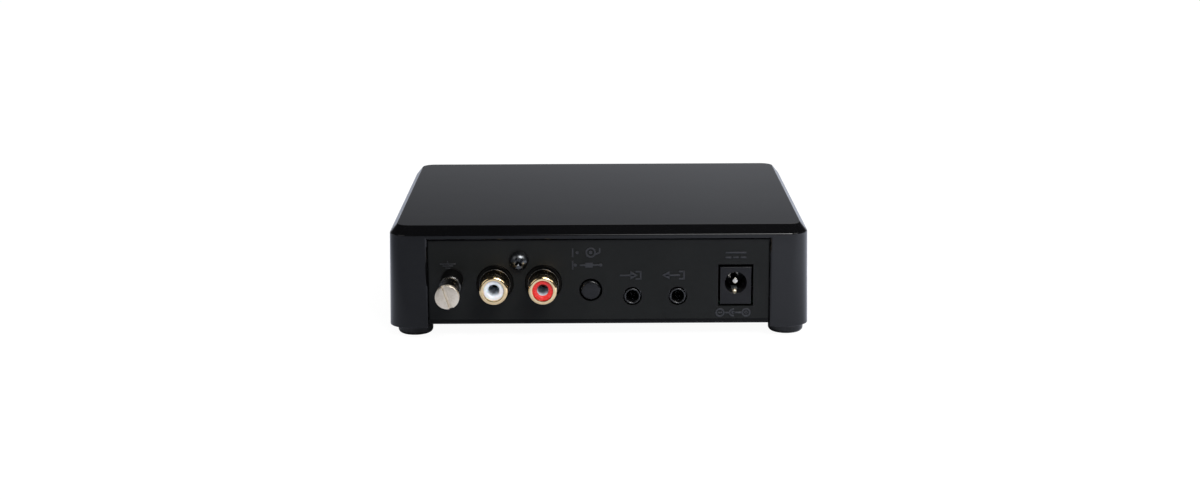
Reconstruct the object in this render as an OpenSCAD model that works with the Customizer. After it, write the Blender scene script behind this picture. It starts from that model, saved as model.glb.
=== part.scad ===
// Phono preamplifier in a small moulded case. Millimetres, +Z up.
// The sockets face -Y and the plain front faces +Y. The origin is on the standing
// surface, midway between the tip of the ground screw and the front.

/* [Case] */
// Width of the shell at the foot of its walls
case_w = 122; // [118:1:150]
// Depth of the shell at the foot of its walls
case_d = 104; // [100:1:130]
// Height of the walls, from their foot to the chamfer
wall_h = 27.3; // [26.5:0.1:36]
// How far each wall leans in over its height
draft = 0.5; // [0.3:0.1:1]
// Thickness of the walls at the chamfer
wall_t = 2.5; // [2:0.1:2.8]
// Thickness of the top
top_t = 2.6; // [2:0.1:3.5]
// Height of the chamfer round the top
chamfer_h = 2.6; // [1:0.1:3.5]
// Width of the chamfer round the top
chamfer_w = 2.1; // [1:0.1:3]
// Radius of the upright corners at the foot of the walls
corner_r = 6.5; // [6:0.1:9]
// Radius of the screw pillars in the corners
pillar_r = 4; // [3.2:0.1:4.5]
// Distance of the screw pillars from the outside of the walls
pillar_inset_x = 6.7; // [6:0.1:8]
// Distance of the screw pillars from the rear and the front
pillar_inset_y = 8.5; // [8:0.1:10]

/* [Bottom cover] */
// Thickness of the bottom cover
cover_t = 2; // [1.6:0.1:2.6]
// Height of the underside of the cover above the foot of the walls
cover_lift = 0.7; // [0.5:0.05:1.5]
// Radius of the round pads under which the feet sit
pad_r = 5.6; // [5.2:0.1:6]
// Width of the two long ribs on the cover
cover_rib_w = 1.6; // [1:0.1:3]

/* [Feet] */
// Height of the rubber feet
foot_h = 3.2; // [2:0.1:5]
// Diameter of the rubber feet
foot_d = 10.2; // [8:0.1:11]
// How far to the right the stuck-on feet sit from their screws
feet_shift = 0.5; // [-1:0.1:1]
// Radius of the rounded lower edge of the feet
foot_edge = 1.2; // [0.2:0.1:1.6]

/* [Rear panel] */
// Width of the corner posts beside the panel
post_w = 11.6; // [11.2:0.1:12.5]
// Height of the shell's edge over the panel
header_h = 1.17; // [0.8:0.01:1.6]
// How far the panel is set back from the foot of the rear wall
panel_recess = 1.5; // [1.2:0.1:1.9]
// Gap between the panel and the header
panel_top_gap = 0.5; // [0.2:0.05:0.7]
// Thickness of the panel
panel_t = 2.5; // [2.2:0.1:3]
// Height of the raised symbols
relief = 0.2; // [0.1:0.05:0.3]
// Width of the strokes of the raised symbols
stroke = 0.45; // [0.3:0.05:0.6]
// Depth and height of the ledge that stands on the cover
ledge = 1.5; // [1:0.1:2]

/* [Circuit board] */
// Height of the standoffs under the board
standoff_h = 2.1; // [1.6:0.05:3]
// Thickness of the board
board_t = 1.6; // [1.2:0.1:2]
// Distance of the board's front edge from the inside of the front wall
board_front = 9; // [8.5:0.5:14]
// Distance of the board screws from the sides of the board
board_screw_inset = 3.6; // [3.2:0.1:5]
// Distance of the rear board screws from the rear edge
board_screw_rear = 17.5; // [17:0.5:22]
// Distance of the front board screws from the front edge
board_screw_front = 12; // [6:0.5:13]

/* [Places along the panel] */
// Ground terminal: -1 is the left side of the opening, 0 its middle and 1 its right side
ground_at = -0.8573; // [-0.86:0.0001:-0.84]
// Middle of the two phono sockets
phono_at = -0.466; // [-0.47:0.0001:-0.45]
// Selector button
button_at = -0.047; // [-0.06:0.0001:-0.03]
// Line in socket
line_in_at = 0.1964; // [0.19:0.0001:0.21]
// Line out socket
line_out_at = 0.4622; // [0.455:0.0001:0.475]
// Power socket
power_at = 0.8012; // [0.785:0.0001:0.81]

/* [Phono sockets] */
// Distance between the two sockets
phono_pitch = 14; // [13.5:0.1:15]
// Height of the socket axes above the board
phono_h = 6.5; // [6.2:0.1:7.5]
// Outside diameter of the gold shells
phono_shell_d = 8.3; // [8:0.05:8.5]
// Outside diameter of the shells inside the housing
phono_root_d = 7.8; // [7.4:0.1:7.9]
// Reach of the gold shells from the panel
phono_reach = 9.5; // [8:0.1:11]
// Diameter of the coloured inserts
phono_insert_d = 5.9; // [5.5:0.1:6.4]
// Diameter of the centre hole for the plug's pin
phono_pin_hole_d = 3.3; // [3.2:0.05:3.6]
// Diameter of the base collars that fill the panel holes
phono_collar_d = 10.5; // [10:0.1:11]
// Diameter of the front collars
phono_front_collar_d = 9.3; // [9:0.1:9.6]
// Reach of the front collars from the panel
phono_collar_reach = 1.6; // [1:0.1:2.5]
// Depth of the housing behind the panel
phono_housing_depth = 13; // [12:0.5:16]
// Height of the fixing screw above the socket axes
phono_screw_rise = 6.8; // [6.6:0.1:7.4]
// Diameter of the fixing screw's head
phono_screw_head_d = 5.1; // [4.6:0.1:5.3]

/* [Line sockets] */
// Height of the socket axes above the board
line_h = 2.5; // [2.45:0.05:3]
// Diameter of the bore that takes the plug
line_bore_d = 3.6; // [3.55:0.05:3.7]
// Outside diameter of the nose
line_nose_d = 4.6; // [4.5:0.05:4.8]
// Diameter of the panel holes round the noses
line_hole_d = 5.5; // [5.2:0.1:6]
// Depth of the housing behind the panel
line_depth = 12; // [11:0.5:15]
// Width of the housing
line_body_w = 6.4; // [6:0.1:8]

/* [Power socket] */
// Width of the socket's face
power_w = 9; // [8.8:0.1:9.4]
// Height of the socket's face
power_face_h = 11; // [10.8:0.1:11.3]
// Depth of the socket
power_depth = 14.2; // [13:0.1:16]
// Height of the hole's centre above the board
power_hole_h = 6.35; // [6:0.05:6.5]
// Diameter of the hole for the plug's barrel
power_hole_d = 6.3; // [6:0.1:6.6]
// Diameter of the centre pin
power_pin_d = 2; // [1.8:0.1:2.6]
// Diameter of the pin's root in the back of the socket
power_pin_root_d = 3; // [2.8:0.1:3.4]
// Distance of the pin's tip from the socket's face
power_pin_set = 2.4; // [1.5:0.1:3.5]
// Gap beside the face in the panel cut-out
power_side_gap = 0.4; // [0.3:0.05:0.8]
// Gap above the face in the panel cut-out
power_top_gap = 0.65; // [0.3:0.05:1]

/* [Selector] */
// Height of the button's axis above the board
button_h = 4.4; // [4.3:0.1:5]
// Diameter of the button
button_d = 5.8; // [5:0.1:6]
// Diameter of the panel hole round the button
button_hole_d = 6.7; // [6.6:0.1:7.4]
// How far the button stands out of the panel
button_proud = 0.5; // [0:0.1:1.5]
// Travel of the button
button_travel = 2.4; // [1.5:0.1:2.5]
// Length of the button
button_l = 5.5; // [5:0.1:6]
// Width of the switch body
switch_w = 8.5; // [8:0.1:8.6]
// Depth of the switch body
switch_depth = 13; // [11:0.5:16]
// Side of the square plunger
plunger_side = 2.4; // [2:0.1:2.6]
// Radius of the coils of the return spring
spring_r = 2.3; // [2.2:0.05:2.5]
// Diameter of the spring wire
spring_wire = 0.4; // [0.3:0.05:0.5]
// Turns of the return spring
spring_turns = 4; // [3:1:5]

/* [Ground terminal] */
// Height of its axis above the board
ground_h = 7.7; // [7:0.1:9]
// Reach of the screw's tip from the foot of the rear wall
ground_reach = 20; // [17:0.5:24]
// Diameter of the bush
ground_bush_d = 6.4; // [6.2:0.1:7]
// Length of the bush outside the panel
ground_bush_l = 8.4; // [6:0.1:9]
// Diameter of the washer
ground_washer_d = 6.1; // [5.6:0.1:6.6]
// Thickness of the washer
ground_washer_t = 0.6; // [0.5:0.1:1]
// Diameter of the screw's shank
ground_shank_d = 4; // [3.5:0.1:4.2]
// Diameter of the screw's slotted face
ground_face_d = 6.8; // [6.6:0.1:7.4]
// Thickness of the slotted disc
ground_face_t = 1.6; // [1.4:0.1:2.5]
// Diameter of the knurled grip
ground_grip_d = 5.8; // [5.4:0.1:6.4]
// Width of the screwdriver slot
ground_slot_w = 1.3; // [1:0.1:1.6]
// Depth of the screwdriver slot
ground_slot_depth = 1.1; // [0.8:0.1:1.3]
// Angle of the slot as the screw is left
ground_slot_angle = 116; // [0:1:180]
// Diameter of the threaded tail behind the panel
ground_tail_d = 5; // [4.8:0.1:5.4]
// Width of the nut across its flats
ground_nut_af = 8; // [7:0.1:8.5]

/* [Components] */
// Diameter of the supply capacitors
supply_cap_d = 10; // [8:0.5:11]
// Height of the supply capacitors
supply_cap_h = 15; // [11:0.5:16]
// Diameter of the signal capacitors
signal_cap_d = 6.3; // [5:0.1:7]
// Height of the signal capacitors
signal_cap_h = 11; // [7:0.5:12]
// Length of the film capacitors
film_cap_l = 7.2; // [6:0.1:9]
// Height of the film capacitors
film_cap_h = 9; // [7:0.5:11]
// Length of the amplifier chips
chip_l = 9.6; // [8:0.1:11]
// Length of a resistor's body
resistor_l = 6.3; // [5:0.1:7]
// Diameter of a resistor's body
resistor_d = 2.3; // [1.8:0.1:2.5]
// Height of the regulator
regulator_h = 14.5; // [12:0.5:15]

/* [Front light] */
// Place of the front light
light_x = 0; // [-30:1:30]
// Height of the light above the board
light_h = 5; // [4:0.1:7]
// Diameter of the light pipe
light_d = 3; // [2:0.1:4]

/* [Fits] */
// Gap between parts of the case that drop into each other
case_gap = 0.3; // [0.2:0.05:0.4]
// Radial clearance of a hole round a fixed piece
hole_gap = 0.15; // [0.1:0.01:0.25]
// Radial clearance of the screw in its bush
screw_gap = 0.05; // [0.02:0.01:0.08]
// Clearance between faces that turn or slide on each other
slide_gap = 0.1; // [0.05:0.01:0.2]
// Radial clearance between pieces that are pushed together for good
seat_gap = 0.03; // [0.01:0.01:0.05]
// Gap between neighbouring things on the board
board_gap = 1; // [0.8:0.1:1.2]

/* [Hidden] */
$fn = 64;
overrun = 1;

// Case levels and walls
foot_z = foot_h;
chamfer_z = foot_z + wall_h;
top_z = chamfer_z + chamfer_h;
ceiling_z = top_z - top_t;
rear_y = (ground_reach - case_d) / 2;
front_y = rear_y + case_d;
centre_y = (rear_y + front_y) / 2;
inner_w = case_w - 2 * (draft + wall_t);
inner_rear_y = rear_y + draft + wall_t;
inner_front_y = front_y - draft - wall_t;
inner_r = corner_r - draft - wall_t;
pillar_x = case_w / 2 - pillar_inset_x;
pillar_rear_y = rear_y + pillar_inset_y;
pillar_front_y = front_y - pillar_inset_y;
corners = [for (x = [-pillar_x, pillar_x], y = [pillar_rear_y, pillar_front_y]) [x, y]];

// Bottom cover and board levels
cover_z = foot_z + cover_lift;
cover_top_z = cover_z + cover_t;
board_z = cover_top_z + standoff_h;
board_top_z = board_z + board_t;

// Rear panel
panel_y = rear_y + panel_recess;
panel_inner_y = panel_y + panel_t;
opening_w = case_w - 2 * post_w;
opening_top_z = chamfer_z - header_h;
tongue_w = 1.8;
record_mark_rise = 11.1;
plug_mark_rise = 7.4;
state_mark_out = 5.2;
flow_mark_rise = 6.2;
direct_current_rise = 3.6;
polarity_drop = 2.5;
earth_mark_rise = 4.3;
arrow_l = 4.2;

// Circuit board
board_w = 2 * (pillar_x - pillar_r - board_gap);
board_rear_y = panel_inner_y + board_gap;
board_front_y = inner_front_y - board_front;
board_d = board_front_y - board_rear_y;
board_screw_x = board_w / 2 - board_screw_inset;
board_screw_ys = [board_rear_y + board_screw_rear, board_front_y - board_screw_front];
board_screws_at = [for (x = [-board_screw_x, board_screw_x], y = board_screw_ys) [x, y]];
standoff_r = 3;
cover_floor = 0.8;

// Screws of the case and the board
case_screw_d = 3;
case_screw_head_d = 5.6;
case_screw_head_h = 1.7;
case_screw_l = 12;
case_screw_cross = 1;
board_screw_bite = 0.8;
board_screw_d = 2.6;
board_screw_head_d = 5;
board_screw_head_h = 1.8;
cross_w = 0.7;
pilot_gap = 0.1;

// Socket places
ground_x = ground_at * opening_w / 2;
phono_x = phono_at * opening_w / 2;
button_x = button_at * opening_w / 2;
line_in_x = line_in_at * opening_w / 2;
line_out_x = line_out_at * opening_w / 2;
power_x = power_at * opening_w / 2;
phono_xs = [phono_x - phono_pitch / 2, phono_x + phono_pitch / 2];
phono_z = board_top_z + phono_h;
phono_screw_z = phono_z + phono_screw_rise;
phono_screw_d = 3;
phono_screw_l = 9;
phono_screw_head_h = 2;
phono_ear_over = 3;
phono_housing_w = phono_pitch + phono_collar_d;
phono_ear_w = 8;
phono_contact_wall = 0.25;
phono_pin_depth = 11;
phono_mouth = 1.6;
phono_insert_set = 0.5;
phono_back_t = 3;
phono_rear_s = -panel_t - phono_housing_depth;
phono_back_s = phono_rear_s + phono_back_t;
phono_collar_step = 0.3;
phono_rod_d = 2;
tail_w = 1.2;
tail_t = 0.4;
line_z = board_top_z + line_h;
line_back_t = 1.5;
line_bore_depth = panel_t + line_depth - line_back_t;
line_strip_t = 0.3;
line_groove_start = 3;
line_groove_l = line_depth - 4;
line_pin_w = 0.8;
line_pin_ys = [4.4, line_depth - 2.6];
power_top_z = board_top_z + power_face_h;
power_hole_z = board_top_z + power_hole_h;
power_back_t = 3;
power_hole_depth = power_depth - power_back_t;
power_flange = 3.5;
power_slot_drop = 0.8;
power_blade_w = 1.8;
power_blade_t = 0.4;
power_crown_h = 0.5;
power_tail_y = panel_y + power_depth + 0.1;
button_z = board_top_z + button_h;
button_face_y = panel_y - button_proud;
button_back_y = button_face_y + button_l;
plunger_root = 4;
plunger_shoulder = 0.8;
spring_pressed_l = (spring_turns + 1) * spring_wire;
spring_start_y = button_back_y + plunger_shoulder;
switch_face_y = spring_start_y + button_travel + spring_pressed_l;
light_z = board_top_z + light_h;
ground_z = board_top_z + ground_h;

// Stations of the ground terminal along its axis, measured out from the panel
ground_washer_s = ground_bush_l + slide_gap;
ground_head_s = ground_washer_s + ground_washer_t + slide_gap;
ground_tip_s = ground_reach + panel_recess;
ground_face_s = ground_tip_s - ground_face_t;
ground_tail_out = 6;
ground_tail_l = panel_t + ground_tail_out;
ground_nut_t = 2.5;
ground_tag_t = 0.5;

// Components: places counted from the board's centre line, as shares of its half
// width, and in millimetres from its rear edge
half_board = board_w / 2;
supply_caps_at = [0.568 * half_board, 32];
signal_caps_at = [-0.771 * half_board, 36];
film_caps_at = [-0.771 * half_board, 49];
film_cap_w = 4;
chips_x = [-0.69 * half_board, -0.325 * half_board];
chips_y = 66;
chip_w = 6.4;
chip_h = 3.3;
chip_stand = 0.5;
chip_row = 3.8;
lead_pitch = 2.54;
resistors_at = [0.04 * half_board, 56];
resistor_count = 8;
resistor_step = resistor_d + 2 * board_gap;
resistor_bend = 1.3;
resistor_wire = 0.6;
regulator_at = [0.771 * half_board, 45];
regulator_lead_y = 1.45;

// Pins through the board
pin_r = 0.4;
pin_drop = board_t + 1;
switch_pin_row = 2.5;
switch_pin_start = 2.5;
switch_pin_pitch = 4;
switch_pins = [for (side = [-1, 1], i = [0:2])
    [button_x + side * switch_pin_row, switch_face_y + switch_pin_start + i * switch_pin_pitch]];
line_pins = [for (x = [line_in_x, line_out_x], side = [-1, 1], y = line_pin_ys)
    [x + side * (line_body_w - line_strip_t) / 2, panel_inner_y + y]];
chip_pins = [for (x = chips_x, i = [-1.5:1:1.5], side = [-1, 1])
    [x + i * lead_pitch, board_rear_y + chips_y + side * chip_row]];
resistor_pins = [for (i = [0:resistor_count - 1], side = [-1, 1])
    [resistors_at[0] + i * resistor_step,
        board_rear_y + resistors_at[1] + side * (resistor_l / 2 + resistor_bend)]];
regulator_pins = [for (i = [-1:1])
    [regulator_at[0] + i * lead_pitch, board_rear_y + regulator_at[1] + regulator_lead_y]];

shell_black = "#101114";
panel_black = "#1d1e20";
socket_black = "#0c0c0e";
rubber_black = "#161616";
gold = "#d9b46a";
tin = "#c9c9cc";
steel = "#bdb6a8";
board_green = "#1f5a38";

// ---------------------------------------------------------------- helpers

// A block with round upright corners, made from one side profile. The profile is
// [out, up] from the corner axes; the axes stand at +-x_axis and +-y_axis.
module rim_block(profile, x_axis, y_axis) {
    for (sx = [-1, 1], sy = [-1, 1])
        translate([sx * x_axis, sy * y_axis])
            rotate(sx > 0 ? (sy > 0 ? 0 : 270) : (sy > 0 ? 90 : 180))
                rotate_extrude(angle = 90)
                    polygon(profile);
    for (side = [0, 180]) {
        rotate(side)
            translate([x_axis, y_axis])
                rotate([90, 0, 0])
                    linear_extrude(2 * y_axis)
                        polygon(profile);
        rotate(side + 90)
            translate([y_axis, x_axis])
                rotate([90, 0, 0])
                    linear_extrude(2 * x_axis)
                        polygon(profile);
    }
    top = max([for (p = profile) p[1]]);
    low = min([for (p = profile) p[1]]);
    translate([-x_axis, -y_axis, low])
        cube([2 * x_axis, 2 * y_axis, top - low]);
}

// A straight block with round upright corners, standing on z = 0
module round_block(w, d, h, r) {
    rim_block([[0, 0], [r, 0], [r, h], [0, h]], w / 2 - r, d / 2 - r);
}

// Puts its children on the panel's face: local x is right, y is up, z is outward
module on_panel(x, z) {
    translate([x, panel_y, z])
        rotate([90, 0, 0])
            children();
}

// A cylinder along the panel's normal, from station s0 to s1 (outward is positive)
module post(d, s0, s1) {
    translate([0, 0, s0])
        cylinder(d = d, h = s1 - s0);
}

// A tube along the panel's normal
module tube(d, bore_d, s0, s1) {
    difference() {
        post(d, s0, s1);
        post(bore_d, s0 - overrun, s1 + overrun);
    }
}

// A turned piece: its profile is [radius, height]
module turned(profile) {
    rotate_extrude()
        polygon(profile);
}

// A square terminal pin that runs down through the board
module board_pin(x, y, top_over_board) {
    translate([x - pin_r, y - pin_r, board_top_z - pin_drop])
        cube([2 * pin_r, 2 * pin_r, pin_drop + top_over_board]);
}

// Cross recess for a screw head, cut down from z = 0
module cross_recess(size, depth) {
    for (turn = [0, 90])
        rotate(turn)
            translate([-size / 2, -cross_w / 2, -depth])
                cube([size, cross_w, depth + overrun]);
}

// Pan-head screw: the head stands on z = 0 and the shank hangs below it
module pan_screw(d, l, head_d, head_h) {
    crown = 0.62;
    difference() {
        turned([
            [0, -l], [d / 2, -l], [d / 2, 0], [head_d / 2, 0], [head_d / 2, head_h / 2],
            [crown * head_d / 2, head_h], [0, head_h]
        ]);
        translate([0, 0, head_h])
            cross_recess(head_d * 0.6, head_h * 0.6);
    }
}

// ---------------------------------------------------------------- case

module shell_outside() {
    translate([0, centre_y, foot_z])
        rim_block([
            [0, 0], [corner_r, 0], [corner_r - draft, wall_h],
            [corner_r - draft - chamfer_w, wall_h + chamfer_h], [0, wall_h + chamfer_h]
        ], case_w / 2 - corner_r, case_d / 2 - corner_r);
}

module top_shell() {
    color(shell_black)
    difference() {
        union() {
            difference() {
                shell_outside();
                translate([0, (inner_rear_y + inner_front_y) / 2, foot_z - overrun])
                    round_block(inner_w, inner_front_y - inner_rear_y,
                        ceiling_z - foot_z + overrun, inner_r);
            }
            // screw pillars from the ceiling down to the cover
            for (c = corners)
                translate([c[0], c[1], cover_top_z])
                    cylinder(r = pillar_r, h = ceiling_z - cover_top_z + 0.5);
        }
        // opening for the rear panel
        translate([-opening_w / 2, rear_y - overrun, foot_z - overrun])
            cube([opening_w, inner_rear_y - rear_y + overrun, opening_top_z - foot_z + overrun]);
        for (c = corners)
            translate([c[0], c[1], cover_top_z - overrun])
                cylinder(d = case_screw_d + 2 * pilot_gap, h = case_screw_l + overrun);
        // hole for the light pipe
        translate([light_x, inner_front_y - overrun, light_z])
            rotate([-90, 0, 0])
                cylinder(d = light_d + 2 * hole_gap, h = draft + wall_t + 2 * overrun);
    }
}

module bottom_cover() {
    cover_rear_y = panel_inner_y + case_gap;
    cover_front_y = inner_front_y - case_gap;
    cover_d = cover_front_y - cover_rear_y;
    cover_w = inner_w - 2 * case_gap;
    color(panel_black)
    difference() {
        union() {
            translate([0, (cover_rear_y + cover_front_y) / 2, cover_z])
                round_block(cover_w, cover_d, cover_t, inner_r - case_gap);
            // pads over the feet, level with the foot of the walls
            intersection() {
                for (c = corners)
                    translate([c[0], c[1], foot_z])
                        cylinder(r = pad_r, h = cover_lift + cover_t);
                translate([0, (cover_rear_y + cover_front_y) / 2, foot_z])
                    round_block(cover_w, cover_d, cover_lift + cover_t, inner_r - case_gap);
            }
            for (p = board_screws_at)
                translate([p[0], p[1], cover_top_z])
                    cylinder(r = standoff_r, h = standoff_h);
            // stiffening ribs between the rows of standoffs
            for (x = [-board_screw_x / 2, board_screw_x / 2])
                translate([x - cover_rib_w / 2, board_screw_ys[0], cover_top_z])
                    cube([cover_rib_w, board_screw_ys[1] - board_screw_ys[0], standoff_h / 2]);
        }
        for (c = corners) {
            translate([c[0], c[1], foot_z - overrun])
                cylinder(d = case_screw_d + 2 * hole_gap, h = cover_lift + cover_t + 2 * overrun);
            translate([c[0], c[1], foot_z - overrun])
                cylinder(d = case_screw_head_d + 2 * hole_gap, h = case_screw_head_h + overrun);
        }
        for (p = board_screws_at)
            translate([p[0], p[1], cover_z + cover_floor])
                cylinder(d = board_screw_d, h = cover_t + standoff_h);
    }
}

module case_screws() {
    r = case_screw_d / 2;
    head_r = case_screw_head_d / 2;
    color(tin)
    for (c = corners)
        translate([c[0], c[1], foot_z + case_screw_head_h])
            mirror([0, 0, 1])
                difference() {
                    turned([
                        [0, -case_screw_l], [r, -case_screw_l], [r, 0], [head_r, 0],
                        [head_r, case_screw_head_h], [0, case_screw_head_h]
                    ]);
                    translate([0, 0, case_screw_head_h])
                        cross_recess(case_screw_head_d * 0.6, case_screw_cross);
                }
}

module feet() {
    r = foot_d / 2;
    color(rubber_black)
    for (c = corners)
        translate([c[0] + feet_shift, c[1], 0])
            turned([[0, 0], [r - foot_edge, 0], [r, foot_edge], [r, foot_h], [0, foot_h]]);
}

// ---------------------------------------------------------------- rear panel

// A flat raised bar from one point to another
module bar(a, b, w = stroke) {
    run = norm(b - a);
    translate([a[0], a[1], 0])
        rotate(atan2(b[1] - a[1], b[0] - a[0]))
            translate([0, -w / 2, 0])
                cube([run, w, relief]);
}

module ring(d) {
    difference() {
        cylinder(d = d, h = relief);
        translate([0, 0, -overrun])
            cylinder(d = d - 2 * stroke, h = relief + 2 * overrun);
    }
}

module arrow_right() {
    bar([0, 0], [arrow_l, 0]);
    linear_extrude(relief)
        polygon([[arrow_l - 1.2, -1.1], [arrow_l + 0.9, 0], [arrow_l - 1.2, 1.1]]);
}

// Three bars under a stem: the earth symbol
module earth_symbol() {
    fine = 2 * stroke / 3;
    step = 2 * fine;
    bar([0, 2 * step], [0, step / 2], fine);
    for (i = [0:2])
        bar([0.8 * i - 2.3, step / 2 - i * step], [2.3 - 0.8 * i, step / 2 - i * step], fine);
}

// A record seen from above: the phono state of the selector
module record_symbol() {
    ring(3);
    cylinder(d = 1, h = relief);
    bar([2.6, 1.3], [2.6, 0]);
    bar([2.6, 0], [1.2, -0.6]);
}

// A plug with its ringed tip: the line state of the selector
module plug_symbol() {
    linear_extrude(relief)
        polygon([[-1.6, -0.7], [0.6, -0.7], [0.6, 0.7], [-1.6, 0.7]]);
    bar([0.6, 0], [2.6, 0]);
    translate([2.9, 0, 0])
        cylinder(d = 0.9, h = relief);
    bar([-3.2, 0], [-1.6, 0]);
}

// A mark beside each state: button out, button in
module state_mark(pressed) {
    bar([0, -1.3], [0, 1.3]);
    translate([pressed ? 0.75 : 1.3, 0, 0])
        cylinder(d = 0.9, h = relief);
}

// Direct current: a line over three dashes
module direct_current_symbol() {
    bar([-3, 0.7], [3, 0.7]);
    for (x = [-3, -0.8, 1.4])
        bar([x, -0.7], [x + 1.6, -0.7]);
}

// Sleeve minus, tip plus, round the socket's picture
module polarity_symbol() {
    reach = 3.8;
    circle_d = 2.6;
    meet = reach - circle_d / 2 + stroke / 2;
    for (x = [-reach, reach])
        translate([x, 0, 0]) {
            ring(circle_d);
            bar([-0.6, 0], [0.6, 0]);
        }
    translate([reach, 0, 0])
        bar([0, -0.6], [0, 0.6]);
    cylinder(d = 1, h = relief);
    difference() {
        ring(2.4);
        translate([0.3, -1.5, -overrun])
            cube([2, 3, 3 * overrun]);
    }
    bar([-meet, 0], [-1, 0]);
    bar([0, 0], [meet, 0]);
}

// An arrow into or out of a cup: line in, line out
module flow_symbol(outward) {
    bar([2.4, -1.3], [2.4, 1.3]);
    bar([0.9, 1.3 - stroke / 2], [2.4, 1.3 - stroke / 2]);
    bar([0.9, -1.3 + stroke / 2], [2.4, -1.3 + stroke / 2]);
    if (outward)
        translate([1.2, 0, 0])
            mirror([1, 0, 0])
                arrow_right();
    else
        translate([0.6 - arrow_l, 0, 0])
            arrow_right();
}

module panel_symbols() {
    on_panel(ground_x - 1.2, ground_z + earth_mark_rise)
        earth_symbol();
    on_panel(button_x - state_mark_out, button_z + record_mark_rise)
        state_mark(false);
    on_panel(button_x, button_z + record_mark_rise)
        record_symbol();
    on_panel(button_x - state_mark_out, button_z + plug_mark_rise)
        state_mark(true);
    on_panel(button_x, button_z + plug_mark_rise)
        plug_symbol();
    on_panel(line_in_x, line_z + flow_mark_rise)
        flow_symbol(false);
    on_panel(line_out_x - 0.6, line_z + flow_mark_rise)
        flow_symbol(true);
    on_panel(power_x, power_top_z + direct_current_rise)
        direct_current_symbol();
    on_panel(power_x - 0.7, board_top_z - polarity_drop)
        polarity_symbol();
}

module rear_panel() {
    plate_w = opening_w - 2 * case_gap;
    plate_top_z = opening_top_z - panel_top_gap;
    tongue_top_z = ceiling_z - case_gap;
    color(panel_black)
    difference() {
        union() {
            translate([-plate_w / 2, panel_y, cover_z])
                cube([plate_w, panel_t, plate_top_z - cover_z]);
            // tongue behind the posts and the header
            translate([-opening_w / 2 - tongue_w, inner_rear_y, cover_z])
                cube([opening_w + 2 * tongue_w, panel_inner_y - inner_rear_y, tongue_top_z - cover_z]);
            // ledge that stands on the cover
            translate([-plate_w / 2, panel_inner_y, cover_top_z])
                cube([plate_w, ledge, ledge]);
            panel_symbols();
        }
        for (x = phono_xs)
            on_panel(x, phono_z)
                post(phono_collar_d + 2 * hole_gap, -panel_t - overrun, overrun);
        on_panel(phono_x, phono_screw_z)
            post(phono_screw_d + 2 * hole_gap, -panel_t - overrun, overrun);
        for (x = [line_in_x, line_out_x])
            on_panel(x, line_z)
                post(line_hole_d, -panel_t - overrun, overrun);
        on_panel(button_x, button_z)
            post(button_hole_d, -panel_t - overrun, overrun);
        on_panel(ground_x, ground_z)
            post(ground_tail_d + 2 * hole_gap, -panel_t - overrun, overrun);
        translate([power_x - power_w / 2 - power_side_gap, panel_y - overrun,
                board_top_z - power_side_gap])
            cube([power_w + 2 * power_side_gap, panel_t + 2 * overrun,
                power_face_h + power_side_gap + power_top_gap]);
    }
}

// ---------------------------------------------------------------- board

module circuit_board() {
    color(board_green)
    difference() {
        translate([-board_w / 2, board_rear_y, board_z])
            cube([board_w, board_d, board_t]);
        board_holes(board_screws_at, board_screw_d);
        board_holes(switch_pins, 2 * pin_r * sqrt(2));
        board_holes(line_pins, line_pin_w);
        board_holes(chip_pins, 0.5 * sqrt(2));
        board_holes(resistor_pins, resistor_wire);
        board_holes(regulator_pins, 2 * pin_r);
        for (x = phono_xs)
            board_slot(x, panel_y - phono_rear_s, tail_w);
        board_slot(power_x, power_tail_y, power_blade_w);
    }
}

module board_holes(places, d) {
    for (p = places)
        translate([p[0], p[1], board_z - overrun])
            cylinder(d = d + 2 * hole_gap, h = board_t + 2 * overrun);
}

// A slot for a flat tail that starts at y and is tail_t thick
module board_slot(x, y, w) {
    translate([x - w / 2 - hole_gap, y - hole_gap, board_z - overrun])
        cube([w + 2 * hole_gap, tail_t + 2 * hole_gap, board_t + 2 * overrun]);
}

module board_screws() {
    color(tin)
    for (p = board_screws_at)
        translate([p[0], p[1], board_top_z])
            pan_screw(board_screw_d - 2 * screw_gap, board_t + standoff_h + board_screw_bite,
                board_screw_head_d, board_screw_head_h);
}

// ---------------------------------------------------------------- phono sockets

module phono_housing() {
    color(socket_black)
    difference() {
        union() {
            translate([phono_x - phono_housing_w / 2, panel_inner_y, board_top_z])
                cube([phono_housing_w, phono_housing_depth, phono_h + phono_collar_d / 2]);
            translate([phono_x - phono_ear_w / 2, panel_inner_y, board_top_z])
                cube([phono_ear_w, phono_housing_depth, phono_h + phono_screw_rise + phono_ear_over]);
            for (x = phono_xs)
                on_panel(x, phono_z) {
                    post(phono_collar_d, -panel_t, phono_collar_step);
                    post(phono_front_collar_d, 0, phono_collar_reach);
                }
        }
        for (x = phono_xs)
            on_panel(x, phono_z) {
                post(phono_root_d + 2 * seat_gap, phono_back_s, phono_collar_reach + overrun);
                post(phono_rod_d + 2 * seat_gap, phono_rear_s - overrun, phono_back_s + overrun);
            }
        on_panel(phono_x, phono_screw_z)
            post(phono_screw_d, -phono_screw_l - overrun, overrun);
    }
}

// Gold sleeve: a root inside the housing, a shoulder on the collar, a rounded lip
module phono_shell(x) {
    lip = 0.7;
    r = phono_shell_d / 2;
    color(gold)
    on_panel(x, phono_z)
        rotate_extrude()
            difference() {
                union() {
                    translate([0, phono_back_s])
                        square([phono_root_d / 2, phono_collar_reach + overrun - phono_back_s]);
                    translate([0, phono_collar_reach])
                        square([r, phono_reach - lip - phono_collar_reach]);
                    translate([0, phono_collar_reach])
                        square([r - lip, phono_reach - phono_collar_reach]);
                    translate([r - lip, phono_reach - lip])
                        circle(r = lip);
                }
                translate([0, phono_back_s - overrun])
                    square([phono_insert_d / 2 + seat_gap, phono_reach - phono_back_s + 2 * overrun]);
            }
}

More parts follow.
